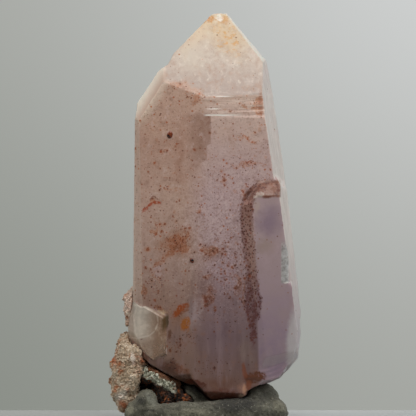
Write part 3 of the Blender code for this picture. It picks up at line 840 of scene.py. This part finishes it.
# %% Where the specks are thick
# Each cloud: middle x and z, radii, turn, chance of specks, strength of the rusty film
CLOUDS = [
    (-1.5, 61.2, 3.0, 2.2, 0, 0.9, 0.5),  # under the tip
    (-5.2, 63.4, 2.8, 1.0, 0, 0.6, 0.5),  # along the left of the tip
    (10.2, 59.4, 1.4, 2.4, 0, 0.8, 1.0),  # right edge below the tip
    (7.6, 59.4, 2.6, 0.6, 0, 0.5, 0.8),  # level smudge to its left
    (-6.8, 51.6, 2.4, 2.8, 0, 0.7, 0.1),  # round the upper bead
    (-10.4, 55.0, 2.4, 2.2, 0, 0.5, 0.3),  # left of the upper bead
    (8.2, 53.4, 3.6, 1.4, 15, 0.8, 0.7),  # upper row on the right
    (5.8, 51.8, 1.6, 1.6, 0, 0.7, 0.2),  # row's left end
    (8.0, 48.2, 6.0, 1.0, -4, 1.0, 0.7),  # long row over the side crystal
    (3.4, 46.4, 4.6, 2.8, 8, 0.85, 0.2),  # below that row
    (7.6, 43.9, 2.4, 1.8, 0, 0.8, 0.2),  # beside the band's top
    (-6.4, 44.0, 3.6, 1.0, 0, 0.5, 0.3),  # left middle row
    (-9.2, 41.3, 1.9, 0.8, 18, 1.0, 1.0),  # left arc
    (-1.4, 40.0, 1.2, 1.2, 0, 1.0, 0.7),  # small red group
    (-9.2, 36.4, 2.6, 2.2, 0, 0.6, 0.5),  # left edge of the haze
    (-5.6, 33.2, 5.4, 3.0, -25, 0.95, 0.9),  # brown haze
    (-3.4, 34.8, 1.8, 0.9, -40, 1.0, 1.0),  # haze's upper arm
    (-8.6, 30.2, 3.0, 1.2, -35, 0.95, 0.9),  # haze's lower arm
    (1.0, 32.0, 3.2, 1.5, 8, 1.0, 1.0),  # middle group
    (0.8, 27.6, 1.4, 1.4, 0, 1.0, 1.0),  # under the middle group
    (4.4, 30.0, 4.6, 11.0, 0, 0.8, 0.1),  # dust down the middle
    (0.8, 23.0, 1.7, 4.2, 20, 1.0, 1.0),  # brown streak
    (6.2, 25.6, 1.4, 3.2, 0, 0.9, 1.0),  # rusty flecks left of the band
    (7.6, 24.0, 0.7, 3.4, 0, 1.0, 1.0),  # rusty edge of the band
    (8.2, 19.6, 0.6, 1.6, 20, 0.9, 1.0),  # rusty edge lower down
    (-9.5, 27.0, 4.4, 4.6, 0, 0.8, 0.3),  # left middle
    (-11.6, 24.6, 1.0, 2.4, 0, 0.9, 0.9),  # left edge flecks
    (-8.6, 21.2, 2.0, 1.2, 20, 0.9, 1.0),  # over the clear crystal
    (-4.2, 20.6, 2.4, 1.2, -30, 1.0, 1.0),  # orange flakes
    (-3.6, 18.2, 1.2, 1.8, 20, 1.0, 1.0),  # lower orange flakes
    (-5.5, 14.5, 3.4, 3.0, 0, 0.75, 0.3),  # below the clear crystal
    (-5.0, 9.4, 4.6, 1.8, 26, 0.8, 1.0),  # foot on the left
    (-2.6, 15.6, 2.2, 3.4, 0, 0.7, 0.4),  # beside the orange flakes
    (1.0, 10.0, 5.0, 3.0, 0, 0.5, 0.2),  # foot
    (4.4, 72.6, 3.6, 4.4, -38, 0.5, 0.0),  # ochre of the tip
]
CHANCE_BETWEEN = 0.22

patchy = skin.noise(4.0, 4, 0.6)
chance = front * skin.z.rise(4.0, 26.0) * CHANCE_BETWEEN + (1 - front) * patchy.rise(0.45, 0.7) * 0.7
film_zone = skin.z * 0.0
for *oval, odds, rusty_film in CLOUDS:
    cloud = skin.spot(bent, *oval, core=0.2) * front
    chance = chance.most(cloud * odds)
    film_zone = film_zone.most(cloud * rusty_film)
chance = chance * (1 - frost * 0.88) * (1 - sides * 0.85) * (1 - small_front * 0.85) * (1 - shoulder)
print(len(CLOUDS), "clouds of specks")

# %% [markdown]
# The dark band lies on the left flank of the small crystal, widens upwards into a hook and stains the rim of
# the crystal's slanted top. Its two edges wander, so each is a curve that gives x for every height. In the
# upper half the ground between its specks is brown too, in the lower half it is dark in blots only.

# %% The dark band
BAND_FOOT = 13.5
BAND_HEAD = 45.0


def edge_curve(recipe, points):
    """x as a wandering function of z. The points are (z, x) in millimetres, from the foot up."""
    least = min(x for z, x in points)
    most = max(x for z, x in points)
    span = BAND_HEAD - BAND_FOOT
    share = (recipe.z - BAND_FOOT) * (1 / span)
    placed = [((z - BAND_FOOT) / span, (x - least) / (most - least)) for z, x in points]
    return recipe.add("FloatCurve", {"points": placed}, {"Value": share}) * (most - least) + least


band_left = edge_curve(skin, [
    (13.5, 8.9), (17.9, 8.6), (20.7, 7.9), (24.5, 7.8), (28.3, 8.0), (32.1, 7.4), (36.9, 6.9), (40.4, 7.0),
    (42.6, 7.6), (44.2, 9.0), (45.0, 11.0),
])
band_right = edge_curve(skin, [
    (13.5, 9.6), (17.9, 10.0), (21.7, 10.7), (24.5, 10.3), (28.3, 9.8), (32.1, 9.5), (36.9, 9.1), (41.6, 9.3),
    (43.2, 11.0), (45.0, 12.4),
])
fray = (skin.noise(0.8, 5, 0.7) - 0.5) * 1.7
toward = skin.ny.rise(-0.05, -0.3)
ends = skin.z.between(12.9, 15.2, 44.7, 45.1) * toward
band = (skin.x + fray - band_left).rise(-0.3, 0.25) * (band_right - skin.x + fray).rise(-0.3, 0.25) * ends
beside = (skin.x - band_left).rise(-2.0, 0.2) * (band_right - skin.x).rise(-0.9, 0.2) * ends
band_ground = band * skin.z.rise(21.0, 30.0)
TOP_RIM = [
    (9.4, 43.2), (10.8, 44.7), (12.6, 45.2), (13.6, 45.1), (13.95, 44.0), (13.9, 42.8), (12.8, 42.4),
    (11.0, 42.2),
]
top_rim = skin.stroke(nudged, TOP_RIM, 0.42) * toward
top_face = skin.x.between(9.6, 10.4, 14.3, 14.6) * skin.z.rise(42.0, 42.5) * skin.z.rise(45.6, 45.2)
top_face = top_face * toward
print("the band runs from", BAND_FOOT, "to", BAND_HEAD, "mm")

# %% All layers of specks
motes, mote_die, _ = specks(skin, nudged, 0.36, 0.11, chance * 1.1)
dust, dust_die, _ = specks(skin, skin.place, 0.6, 0.16, chance * 0.9 + beside * 0.6)
grit, grit_die, grit_halo = specks(skin, nudged, 0.95, 0.2, chance * 0.95 - 0.05, rusty=True)
flake, flake_die, flake_halo = specks(skin, nudged, 1.8, 0.3, chance * 0.8 - 0.16, rusty=True)
beads, bead_die, _ = specks(skin, skin.place, 0.5, 0.2, band + top_rim * 0.6)
print("five layers of specks")

# %% [markdown]
# Rust takes away green and blue more than red, so a speck multiplies what lies under it, and so does the
# thin rusty film between the specks. The ground of the band is laid on first, then the specks over it.

# %% Film, band and specks over the tones
RUST_PLACES = (0.0, 0.5, 0.8, 1.0)
RUST_TONES = (
    (0.14, 0.07, 0.06, 1.0), (0.30, 0.15, 0.10, 1.0), (0.58, 0.28, 0.15, 1.0), (0.88, 0.42, 0.20, 1.0),
)
HALO = (0.92, 0.64, 0.44, 1.0)


def rusted(under, share, die):
    return under.coat(share, skin.ramp(die, RUST_PLACES, RUST_TONES), "MULTIPLY")


blots = skin.noise(1.3, 6, 0.72, nudged)
crumbs = crumbly.rise(0.36, 0.56) * 0.7 + 0.3
rust_film = (blots + film_zone * 0.34).rise(0.62, 0.78) * film_zone.rise(0.02, 0.3) * crumbs
deep_film = (blots + film_zone * 0.3).rise(0.74, 0.98) * film_zone.rise(0.02, 0.3)
film_tone = skin.mix(deep_film, (0.92, 0.58, 0.36, 1.0), (0.46, 0.26, 0.14, 1.0))
speckled = tones.coat(rust_film * 0.9, film_tone, "MULTIPLY")
speckled = speckled.coat(top_face * 0.8, (138, 100, 82))
speckled = speckled.coat(top_face * blots.rise(0.46, 0.58) * 0.7, (120, 66, 38))
speckled = speckled.coat(band_ground * (skin.z.rise(34.0, 42.0) * 0.2 + 0.6), (126, 78, 60))
speckled = speckled.coat(band * (1 - band_ground) * 0.5, (108, 72, 76))
speckled = speckled.coat(band * (1 - band_ground) * blots.rise(0.42, 0.56) * 0.8, (92, 38, 32))
speckled = speckled.coat(top_rim * 0.8, (108, 56, 34))
speckled = rusted(speckled, motes * 0.65, mote_die)
speckled = rusted(speckled, dust * 0.9, dust_die)
speckled = speckled.coat(grit_halo * 0.45, HALO, "MULTIPLY")
speckled = rusted(speckled, grit, grit_die)
speckled = speckled.coat(flake_halo * 0.6, HALO, "MULTIPLY")
speckled = rusted(speckled, flake, flake_die * 0.6 + 0.35)
speckled = speckled.coat(beads * 0.9, skin.mix(bead_die, (44, 16, 16), (104, 46, 32)))
print("film, band and specks are laid on")

# %% [markdown]
# Iron also stains the broken foot and a few edges orange to dark brown, as a thin film, and it draws a few
# red strokes, like the little arc on the left. The broad stains have ragged edges and crumble. The same list
# holds a few painted highlights too: pale spots on the lowest edges of the foot and on the small crystal's
# top.

# %% Stains and painted highlights
# Each entry: middle x and z, radii, turn, colour, strength
STAINS_AND_HIGHLIGHTS = [
    (9.6, 8.0, 2.6, 1.3, -8, (98, 48, 17), 1.5),  # foot of the small crystal
    (7.6, 9.2, 0.6, 2.2, -10, (124, 62, 28), 0.8),  # its left corner
    # The next two are painted highlights on the lowest edges of the foot.
    (7.6, 5.8, 0.5, 1.3, 0, (190, 140, 110), 0.8),  # lit edge below it
    (6.9, 4.5, 0.7, 0.45, 10, (210, 178, 158), 0.8),  # pale spot of the lowest edge
    (8.4, 6.6, 0.7, 1.4, 0, (130, 68, 36), 0.85),  # its lower corner
    (-2.4, 6.7, 3.4, 1.1, 14, (44, 22, 12), 0.95),  # foot on the left
    (-1.7, 7.0, 2.8, 0.9, 16, (84, 34, 10), 1.6),  # rust along that foot
    (8.8, 42.5, 1.3, 1.3, 0, (92, 46, 30), 0.9),  # bend of the hook
    (-6.4, 9.0, 3.2, 0.9, 28, (74, 44, 28), 0.8),  # further left
    (2.6, 4.8, 5.6, 1.5, 0, (102, 52, 36), 1.0),  # foot in the middle
    (-11.6, 11.4, 1.8, 1.6, 40, (104, 60, 36), 0.8),  # brown contact beside the crust
    (10.7, 59.8, 0.6, 3.2, 0, (166, 108, 78), 0.75),  # edge below the tip
    (0.7, 75.9, 1.8, 0.7, -20, (206, 140, 78), 0.8),  # left of the crest
    (4.0, 75.8, 1.0, 0.9, 0, (214, 158, 98), 0.6),  # right of the crest
    (2.7, 76.3, 0.9, 0.7, 0, (246, 238, 228), 0.8),  # white crystal on the crest
    (-4.6, 20.9, 2.3, 0.8, -38, (146, 68, 14), 1.5),  # orange flake
    (-3.6, 18.2, 1.2, 1.6, 12, (158, 90, 24), 1.3),  # lower orange flake
    (-7.2, 18.6, 0.55, 1.9, 6, (74, 54, 20), 0.9),  # olive seam of the clear crystal
    (-6.6, 16.2, 0.5, 1.2, 10, (96, 54, 26), 0.8),  # its brown foot
    (-8.0, 20.3, 1.0, 0.7, 0, (206, 178, 138), 0.6),  # cream flecks above it
    # The next two are a painted highlight on the top face of the small crystal.
    (10.4, 42.8, 1.0, 0.6, 12, (166, 148, 138), 1.2),  # pale chip
    (9.7, 42.3, 0.7, 0.4, 0, (188, 172, 162), 0.7),  # pale chip's left end
    (15.4, 26.0, 1.0, 0.22, 0, (236, 230, 224), 0.85),  # foot of the clear chip
    (-0.9, 19.3, 0.8, 0.14, 48, (70, 40, 34), 0.7),  # mark on the lilac
]
BROAD_PATCH = 0.7

stained_and_lit = speckled
for *oval, colour, strength in STAINS_AND_HIGHLIGHTS:
    broad = oval[2] > BROAD_PATCH
    reach = skin.spot(ragged if broad else nudged, *oval, core=0.45) * front
    if broad:
        reach = reach * crumbs
    stained_and_lit = stained_and_lit.coat(reach * strength, colour)
RED_ARC = [(-11.7, 39.4), (-10.8, 40.4), (-9.8, 41.1), (-9.0, 41.3), (-8.5, 41.0)]
BROWN_ARC = [(-10.3, 41.8), (-9.5, 42.3), (-8.9, 41.8)]
stained_and_lit = stained_and_lit.coat(skin.stroke(nudged, BROWN_ARC, 0.32) * front * crumbs * 0.9, (120, 62, 38))
stained_and_lit = stained_and_lit.coat(skin.stroke(nudged, RED_ARC, 0.42) * front * crumbs, (164, 66, 24))
print(len(STAINS_AND_HIGHLIGHTS), "stains and two arcs")

# %% [markdown]
# Level growth lines cross the front just under the tip. Three of them catch the light, painted as thin white
# highlights, straight and brightest on the left.

# %% Growth lines and their painted highlights
# Each thread: its height, left and right end, half its width
THREADS = [(57.75, -0.4, 8.5, 0.2), (58.95, 0.0, 3.6, 0.12), (61.3, 1.6, 6.4, 0.14)]

ledge_zone = skin.z.between(57.0, 58.2, 61.4, 62.2) * skin.x.rise(-2.5, 2.0) * front
levels = skin.noise(0.45, 4, 0.6, skin.drawn_out(12, 12, 1))
stained_and_lit = stained_and_lit.coat(ledge_zone * levels.rise(0.52, 0.64) * 0.5, (232, 214, 202))
stained_and_lit = stained_and_lit.coat(ledge_zone * levels.rise(0.44, 0.34) * 0.3, (170, 134, 116))
for level, left, right, half in THREADS:
    length = skin.x.between(left, left + 1.2, left + 2.0, right) * front
    thread = (skin.z - level + (fray * 0.08)).unsigned().rise(half, half * 0.4) * length
    # Each thread is a painted highlight.
    stained_and_lit = stained_and_lit.coat(thread * 0.95, (255, 250, 244))
print(len(THREADS), "white threads")

# %% [markdown]
# The relief too fine for the mesh is a bump: a frost of tiny pits all over, streaks on the sides, and level
# growth lines. The frosted parts are rough and the small crystal is smooth. A thin coat gives the soft shine
# of the natural faces.

# %% The body's finish
QUARTZ_IOR = 1.54

frosting = skin.noise(0.25, 4, 0.7)
fine = skin.bump(frosting, 0.05)
fine = skin.bump(levels * ledge_zone, 0.12, fine)
fine = skin.bump(streaks * sides, 0.06, fine)
roughness = 0.4 + frost * 0.2 - small_front * 0.12 + frosting * 0.1 + sides * 0.06
skin.dress([body], skin.principled({
    "Base Color": stained_and_lit, "Roughness": roughness, "Normal": fine, "IOR": QUARTZ_IOR,
    "Subsurface Weight": 0.2, "Subsurface Radius": (1.0, 0.6, 0.5), "Subsurface Scale": 0.8 * MM,
    "Coat Weight": 0.12, "Coat Roughness": 0.25,
}, subsurface_method="RANDOM_WALK"))

# %% [markdown]
# ## Clear quartz
#
# Glass that only bends light makes what lies behind it dark, because a lamp's light can't find its way
# through. The usual cure is a Mix Shader that turns the glass into a plain Transparent shader for the rays
# that ask whether a lamp is hidden. The real crystal is cloudy, so the glass is also mixed with a milky
# finish, and slightly smoky, which is a faint absorption inside it.

# %% The milk in the clear crystal
smoky = Recipe("clear_quartz")
wisp = smoky.noise(1.4, 5, 0.65)
lower = smoky.z.rise(16.6, 13.4)
milk_tone = smoky.mix(smoky.x.rise(-12.6, -8.2), (226, 214, 200), (164, 130, 106))
milk_tone = milk_tone.coat(lower * 0.85, (166, 137, 116))
milk_tone = milk_tone.coat(smoky.x.rise(-13.2, -13.6) * 0.6, (184, 158, 142))
milk_tone = milk_tone.coat(wisp.rise(0.45, 0.7) * 0.4, (214, 204, 192))
# Painted highlights along the edges of the clear crystal's faces, which also make the glass a little milkier
# there.
EDGES = [
    [(-14.9, 15.4), (-12.8, 15.4), (-10.4, 16.0)], [(-14.0, 14.6), (-12.3, 13.1), (-10.4, 10.8)],
    [(-9.0, 20.3), (-8.8, 18.4), (-9.4, 16.9), (-10.4, 16.0)], [(-13.6, 20.3), (-13.0, 16.0)],
    [(-13.6, 21.7), (-11.7, 21.5), (-9.8, 20.5), (-8.3, 19.6)],
]
gleam = smoky.z * 0.0
for points in EDGES:
    gleam = gleam.most(smoky.stroke(smoky.place, points, 0.24))
milk_tone = milk_tone.coat(gleam * 0.3, (232, 224, 214))
olive = smoky.spot(smoky.wobbled(1.0, 0.6, 4), -7.6, 18.4, 0.8, 2.2, 6)
milk_tone = milk_tone.coat(olive * 0.95, (84, 60, 26))
print(len(EDGES), "edges gleam")

# %% The clear crystal's finish
glass_bump = smoky.bump(smoky.noise(0.8, 2), 0.04)
quartz = smoky.principled({
    "Base Color": (0.93, 0.91, 0.88, 1.0), "Roughness": 0.08, "IOR": QUARTZ_IOR,
    "Transmission Weight": 1.0, "Normal": glass_bump,
})
milk = smoky.principled({"Base Color": milk_tone, "Roughness": 0.35, "Normal": glass_bump})
milkiness = (wisp.rise(0.35, 0.75) * 0.25 + 0.6 + gleam * 0.12 + olive * 0.3) * (1 - lower * 0.3)
part_milky = smoky.add("MixShader", {}, {0: milkiness, 1: quartz, 2: milk})
lamp_asks = smoky.add("LightPath", output="Is Shadow Ray")
seen = smoky.add("MixShader", {}, {
    0: lamp_asks, 1: part_milky, 2: smoky.add("BsdfTransparent", {}, {"Color": (0.9, 0.88, 0.85, 1.0)}),
})
smoke = smoky.add("VolumeAbsorption", {}, {"Color": (0.80, 0.74, 0.66, 1.0), "Density": 25.0})
smoky.dress([clear_crystal], seen, smoke)

# %% [markdown]
# ## The sandy crust
#
# The crust is a scrap of the rock that the crystal grew on: fine tan grains cemented together, with gaps, a
# rusty rim and a few white crystals. The node's skin gets an even mesh, then three reliefs, from coarse
# lumps to single grains, and is thinned to flat facets like those of broken grit. Loose grains are then
# scattered over it. One grain is modelled, by cutting a small ball to a broken shape, and copied.

# %% The crust's skin


def broken_skin(node, name, voxel, reliefs, share_kept):
    """A node's skin with reliefs from coarse to fine, thinned to flat facets."""
    piece = skin_of(node, name, voxel)
    for kind, grain, depth, settings in reliefs:
        emboss(piece, kind, grain, depth, **settings)
    apply_modifier(piece, "DECIMATE", ratio=share_kept)
    take(piece)
    bpy.ops.object.shade_flat()
    return piece


crust = broken_skin("matrix_crust", "sandy_crust", 0.15, [
    ("CLOUDS", 1.6, 0.75, {"noise_depth": 2}), ("VORONOI", 0.8, 0.26, {"raised": 0.3}),
    ("CLOUDS", 0.3, 0.10, {"noise_depth": 2}),
], 0.35)
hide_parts("matrix_crust")
tell(crust)

# %% Loose grains


def broken_grain(name, cuts, seed):
    """A ball of 1 mm, cut to a broken shape by a few random planes."""
    pick = random.Random(seed)
    grain = start_from(bpy.ops.mesh.primitive_ico_sphere_add, name, subdivisions=1, radius=0.5 * MM)
    for _ in range(cuts):
        normal = Vector((pick.uniform(-1, 1), pick.uniform(-1, 1), pick.uniform(-1, 1))).normalized()
        cut_off(grain, normal * pick.uniform(0.24, 0.38) * MM, normal)
    return grain


def scatter(grain, carrier, name, count, smallest, largest, seed, where=lambda at: True):
    """Copies of a grain, turned and sized at random, half sunk into the carrier's skin, as one piece."""
    pick = random.Random(seed)
    corners = [corner for corner in carrier.data.vertices if where(corner.co / MM)]
    copies = []
    for _ in range(count):
        corner = pick.choice(corners)
        extent = pick.uniform(smallest, largest)
        copy = new_object(name, grain.data.copy())
        copy.location = corner.co - corner.normal * extent * 0.1 * MM
        copy.rotation_euler = [pick.uniform(0, math.tau) for _ in range(3)]
        copy.scale = (extent, extent * pick.uniform(0.6, 1.0), extent * pick.uniform(0.6, 1.0))
        copies.append(copy)
    bpy.data.objects.remove(grain)
    whole = joined(copies, name)
    tell(whole)
    return whole


sand = scatter(broken_grain("seed_grain", 4, 3), crust, "crust_grains", 420, 0.25, 0.85, 17)

# %% [markdown]
# Each grain has its own shade, which a Voronoi texture gives cell by cell. The upper end is paler, white
# crystals lie along a streak and at the foot, and rust gathers on the rims.

# %% The crust's finish
# Each oval: middle x and z, radii, turn, core, strength
WHITE_STREAKS = [(-13.6, 11.6, 0.6, 1.7, -8, 0.4, 1), (-15.8, 4.6, 2.2, 1.2, -35, 0.2, 1)]
RUSTY_RIMS = [
    (-12.6, 9.0, 1.1, 3.4, -20, 0.2, 1), (-11.8, 11.2, 2.6, 1.2, 38, 0.2, 1),
    (-17.4, 12.0, 0.8, 2.6, -14, 0.2, 1), (-15.0, 2.6, 2.4, 1.4, 0, 0.2, 1),
]

earth = Recipe("sandy_crust")
grain_cells = earth.add("TexVoronoi", {}, {"Vector": earth.place, "Scale": 1 / 0.42}, "Color")
shade = earth.add("SeparateColor", {}, {"Color": grain_cells})
patches = earth.noise(2.4, 4, 0.6)
sandy = earth.mix(shade, (180, 158, 132), (212, 193, 171))
sandy = sandy.coat(earth.z.rise(16.0, 20.0), (224, 200, 185))
sandy = sandy.coat(patches.rise(0.48, 0.64) * 0.85, (186, 112, 66))
sandy = sandy.coat(earth.noise(1.6, 5, 0.65).rise(0.52, 0.62) * 0.8, (236, 220, 200))
white_streak = earth.spots(earth.place, WHITE_STREAKS)
sandy = sandy.coat(white_streak * patches.rise(0.3, 0.5) * 0.8, (244, 234, 222))
rusty_rim = earth.spots(earth.place, RUSTY_RIMS)
sandy = sandy.coat(rusty_rim * patches.rise(0.3, 0.6) * 0.75, (170, 88, 46))
sandy = sandy.coat(shade.rise(0.14, 0.05) * 0.5, (112, 74, 48))
earth_bump = earth.bump(earth.noise(0.16, 3, 0.7), 0.12)
earth.dress([crust, sand], earth.principled({
    "Base Color": sandy, "Roughness": 0.92, "Normal": earth_bump,
}))

# %% [markdown]
# ## The iron rock
#
# Under the crystal sits a scrap of dark rock full of iron, with glossy brown skins, an orange crust in its
# hollows and paler grey-green lumps on top. It is made in the same way as the crust, but with sharper relief.

# %% The rock's skin
rock = broken_skin("matrix_rock", "iron_rock", 0.13, [
    ("CLOUDS", 1.1, 0.6, {"noise_depth": 3}), ("VORONOI", 0.8, 0.4, {"raised": 0.2}),
    ("CLOUDS", 0.28, 0.12, {"noise_depth": 2}),
], 0.3)
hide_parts("matrix_rock")
tell(rock)

# %% Pale chips on the rock


def ledge_height(x):
    """The height of the band of paler rock, which slopes down to the right under the crystal."""
    return 8.7 - 0.55 * (x + 10.9)


def on_pale_ledge(at):
    return -12.4 < at.x < -5.6 and at.y < -4.5 and abs(at.z - ledge_height(at.x)) < 0.9


chip_grain = broken_grain("chip_grain", 5, 4)
rock_chips = scatter(chip_grain, rock, "rock_chips", 90, 0.35, 1.2, 31, on_pale_ledge)

# %% [markdown]
# The dark ground has orange blots. Above the ledge it is rusty, in the middle a mass is mauve, and the ledge
# itself and its chips are a pale grey-green with brown spots.

# %% The rock's finish
iron = Recipe("iron_rock")
blotch = iron.noise(1.3, 5, 0.68)
rocky = iron.mix(blotch.rise(0.4, 0.6), (20, 10, 4), (48, 26, 13))
rocky = rocky.coat(iron.noise(0.9, 4, 0.6).rise(0.52, 0.62) * 0.9, (156, 84, 30))
rocky = rocky.coat(iron.spot(iron.place, -8.4, 6.0, 2.8, 1.0, 36) * 0.4, (112, 90, 80))
over_ledge = iron.z - ledge_height(iron.x) + (blotch - 0.5) * 2.6
rocky = rocky.coat(over_ledge.rise(0.3, 1.2) * iron.y.rise(-3.0, -4.6) * 0.8, (138, 92, 62))
pale_ledge = over_ledge.unsigned().rise(1.1, 0.6) * iron.x.rise(-5.0, -6.0) * iron.y.rise(-3.0, -4.6)
ledge_tone = iron.mix(iron.noise(0.7, 5, 0.7).rise(0.35, 0.65), (136, 130, 108), (220, 222, 204))
rocky = rocky.coat(pale_ledge, ledge_tone)
rock_bump = iron.bump(iron.noise(0.2, 3, 0.7), 0.1)
iron.dress([rock], iron.principled({
    "Base Color": rocky, "Roughness": 0.75 - blotch * 0.3, "Normal": rock_bump,
}))

chippy = Recipe("pale_chips")
chip_shade = chippy.mix(chippy.noise(0.8, 4, 0.7).rise(0.35, 0.6), (142, 136, 114), (224, 226, 210))
chip_shade = chip_shade.coat(chippy.noise(1.1, 3).rise(0.56, 0.66) * 0.7, (128, 80, 44))
chippy.dress([rock_chips], chippy.principled({"Base Color": chip_shade, "Roughness": 0.8}))

# %% [markdown]
# ## The putty
#
# The stand is grey-green modelling putty, rolled between the fingers and pressed together. Its skin is soft
# and dull, with dents, faint creases and dark grit that stuck to it. Its underside stays flat, so the dents
# fade out just above the ground.

# %% The putty's skin
putty = skin_of("putty_base", "kneaded_putty", 0.22)
off_table = group_by(putty, "off_table", lambda at, n: ease(at[2], 0.15, 0.8))
emboss(putty, "CLOUDS", 2.6, 0.4, off_table, noise_depth=1)
emboss(putty, "CLOUDS", 0.8, 0.22, off_table, noise_depth=2)
putty.vertex_groups.clear()
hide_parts("putty_base")
tell(putty)

# %% Grit on the putty
grit_grain = broken_grain("grit_grain", 3, 8)
putty_grit = scatter(grit_grain, putty, "putty_grit", 260, 0.12, 0.34, 23, lambda at: at.z > 0.8)

# %% The putty's finish
# Each oval: middle x and z, radii, turn, core, strength
IN_SHADE = [
    (6.2, 3.0, 6.2, 2.0, -4, 0.4, 1), (-10.4, 1.9, 2.0, 0.5, 0, 0.3, 0.9),
    (11.2, 4.1, 2.4, 1.4, 20, 0.3, 0.45),
]
LIT_FRONT = [
    (-2.6, 1.4, 5.6, 1.2, 0, 0.4, 1), (-14.2, 2.0, 1.4, 1.6, 0, 0.3, 1.5),
    (14.2, 2.6, 1.8, 1.8, 0, 0.3, 0.8),
]

clay = Recipe("grey_putty")
putty_tone = clay.mix(clay.noise(3.0, 4, 0.6).rise(0.35, 0.65), (76, 74, 62), (112, 110, 95))
kneaded = clay.wobbled(2.0, 1.2)
in_shade = clay.spots(kneaded, IN_SHADE)
lit_front = clay.spots(kneaded, LIT_FRONT)
putty_tone = putty_tone.coat(lit_front * 0.6, (142, 139, 119))
putty_tone = putty_tone.coat(in_shade * 0.85, (24, 22, 17))
# Painted shade in the fold on the left, and painted light on the pale ridge beside it.
putty_tone = putty_tone.coat(clay.spot(clay.place, -12.0, 3.6, 1.2, 1.1, 20) * 0.7, (34, 34, 28))
putty_tone = putty_tone.coat(clay.spot(clay.place, -10.2, 4.0, 0.9, 2.3, -34) * 0.4, (150, 152, 140))
putty_tone = putty_tone.coat(clay.noise(0.45, 4, 0.7).rise(0.52, 0.64) * 0.75, (46, 42, 34))
putty_tone = putty_tone.coat(clay.noise(0.6, 4, 0.7).rise(0.58, 0.68) * 0.6, (164, 162, 146))
clay_bump = clay.bump(clay.noise(0.35, 4, 0.65), 0.2)
clay.dress([putty], clay.principled({
    "Base Color": putty_tone, "Roughness": 0.72, "Normal": clay_bump, "Sheen Weight": 0.1,
}))

gritty = Recipe("dark_grit")
grit_tone = gritty.mix(gritty.noise(0.8, 2), (30, 26, 20), (88, 66, 44))
gritty.dress([putty_grit], gritty.principled({"Base Color": grit_tone, "Roughness": 0.6}))

# %% [markdown]
# ## The water pockets
#
# This point is an enhydro: it holds small pockets of ancient water, and two of them show as dark beads that
# catch the light. They lie just under the skin of the front. Each is a ball that is pressed flatter and
# drawn out a little, half sunk into the face.

# %% Beads in their pockets
# Each bead: its x and z, radius, how far it is drawn out, and turn in degrees
BEADS = [(-6.56, 54.0, 0.56, 1.25, 12), (-2.4, 30.2, 0.54, 0.7, 60)]
BEAD_DEPTH = 0.45


def face_at(piece, x, z):
    """The point on the piece's front, straight behind a place on the front view."""
    return piece.ray_cast(Vector((x * MM, -0.05, z * MM)), Vector((0, 1, 0)))[1]


pockets = []
for x, z, radius, drawn_out, turn in BEADS:
    bead = start_from(
        bpy.ops.mesh.primitive_ico_sphere_add, "bead", subdivisions=3, radius=radius * MM,
        location=face_at(body, x, z),
    )
    bead.rotation_euler = Euler((0, math.radians(turn), 0))
    bead.scale = (1.0, BEAD_DEPTH, drawn_out)
    settle(bead)
    pockets.append(bead)
water_beads = joined(pockets, "water_beads")
take(water_beads)
bpy.ops.object.shade_smooth()

wet = Recipe("dark_bead")
wet_tone = wet.mix(wet.noise(0.4, 2).rise(0.4, 0.62), (38, 12, 6), (128, 58, 30))
wet.dress([water_beads], wet.principled({
    "Base Color": wet_tone, "Roughness": 0.2, "Coat Weight": 0.25, "Coat Roughness": 0.05,
}))
tell(water_beads)

# %% [markdown]
# ## Putting it together
#
# Nothing moves, so every piece rides on the one body.

# %% Ride on the root
SLOTS = {
    body: "amethyst", clear_crystal: "amethyst", water_beads: "amethyst", crust: "sandy_crust",
    sand: "sandy_crust", rock: "iron_rock", rock_chips: "iron_rock", putty: "grey_putty",
    putty_grit: "grey_putty",
}
for piece, finish_slot in SLOTS.items():
    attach(piece, "root")
print(len(SLOTS), "pieces ride on the root")

# %% Compare the boxes
dressed_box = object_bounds()
for axis in range(3):
    cad_side = cad_box[1][axis] - cad_box[0][axis]
    grown = (dressed_box[1][axis] - dressed_box[0][axis]) / cad_side - 1
    print("XYZ"[axis], f"{100 * grown:+.2f} % against the frame")
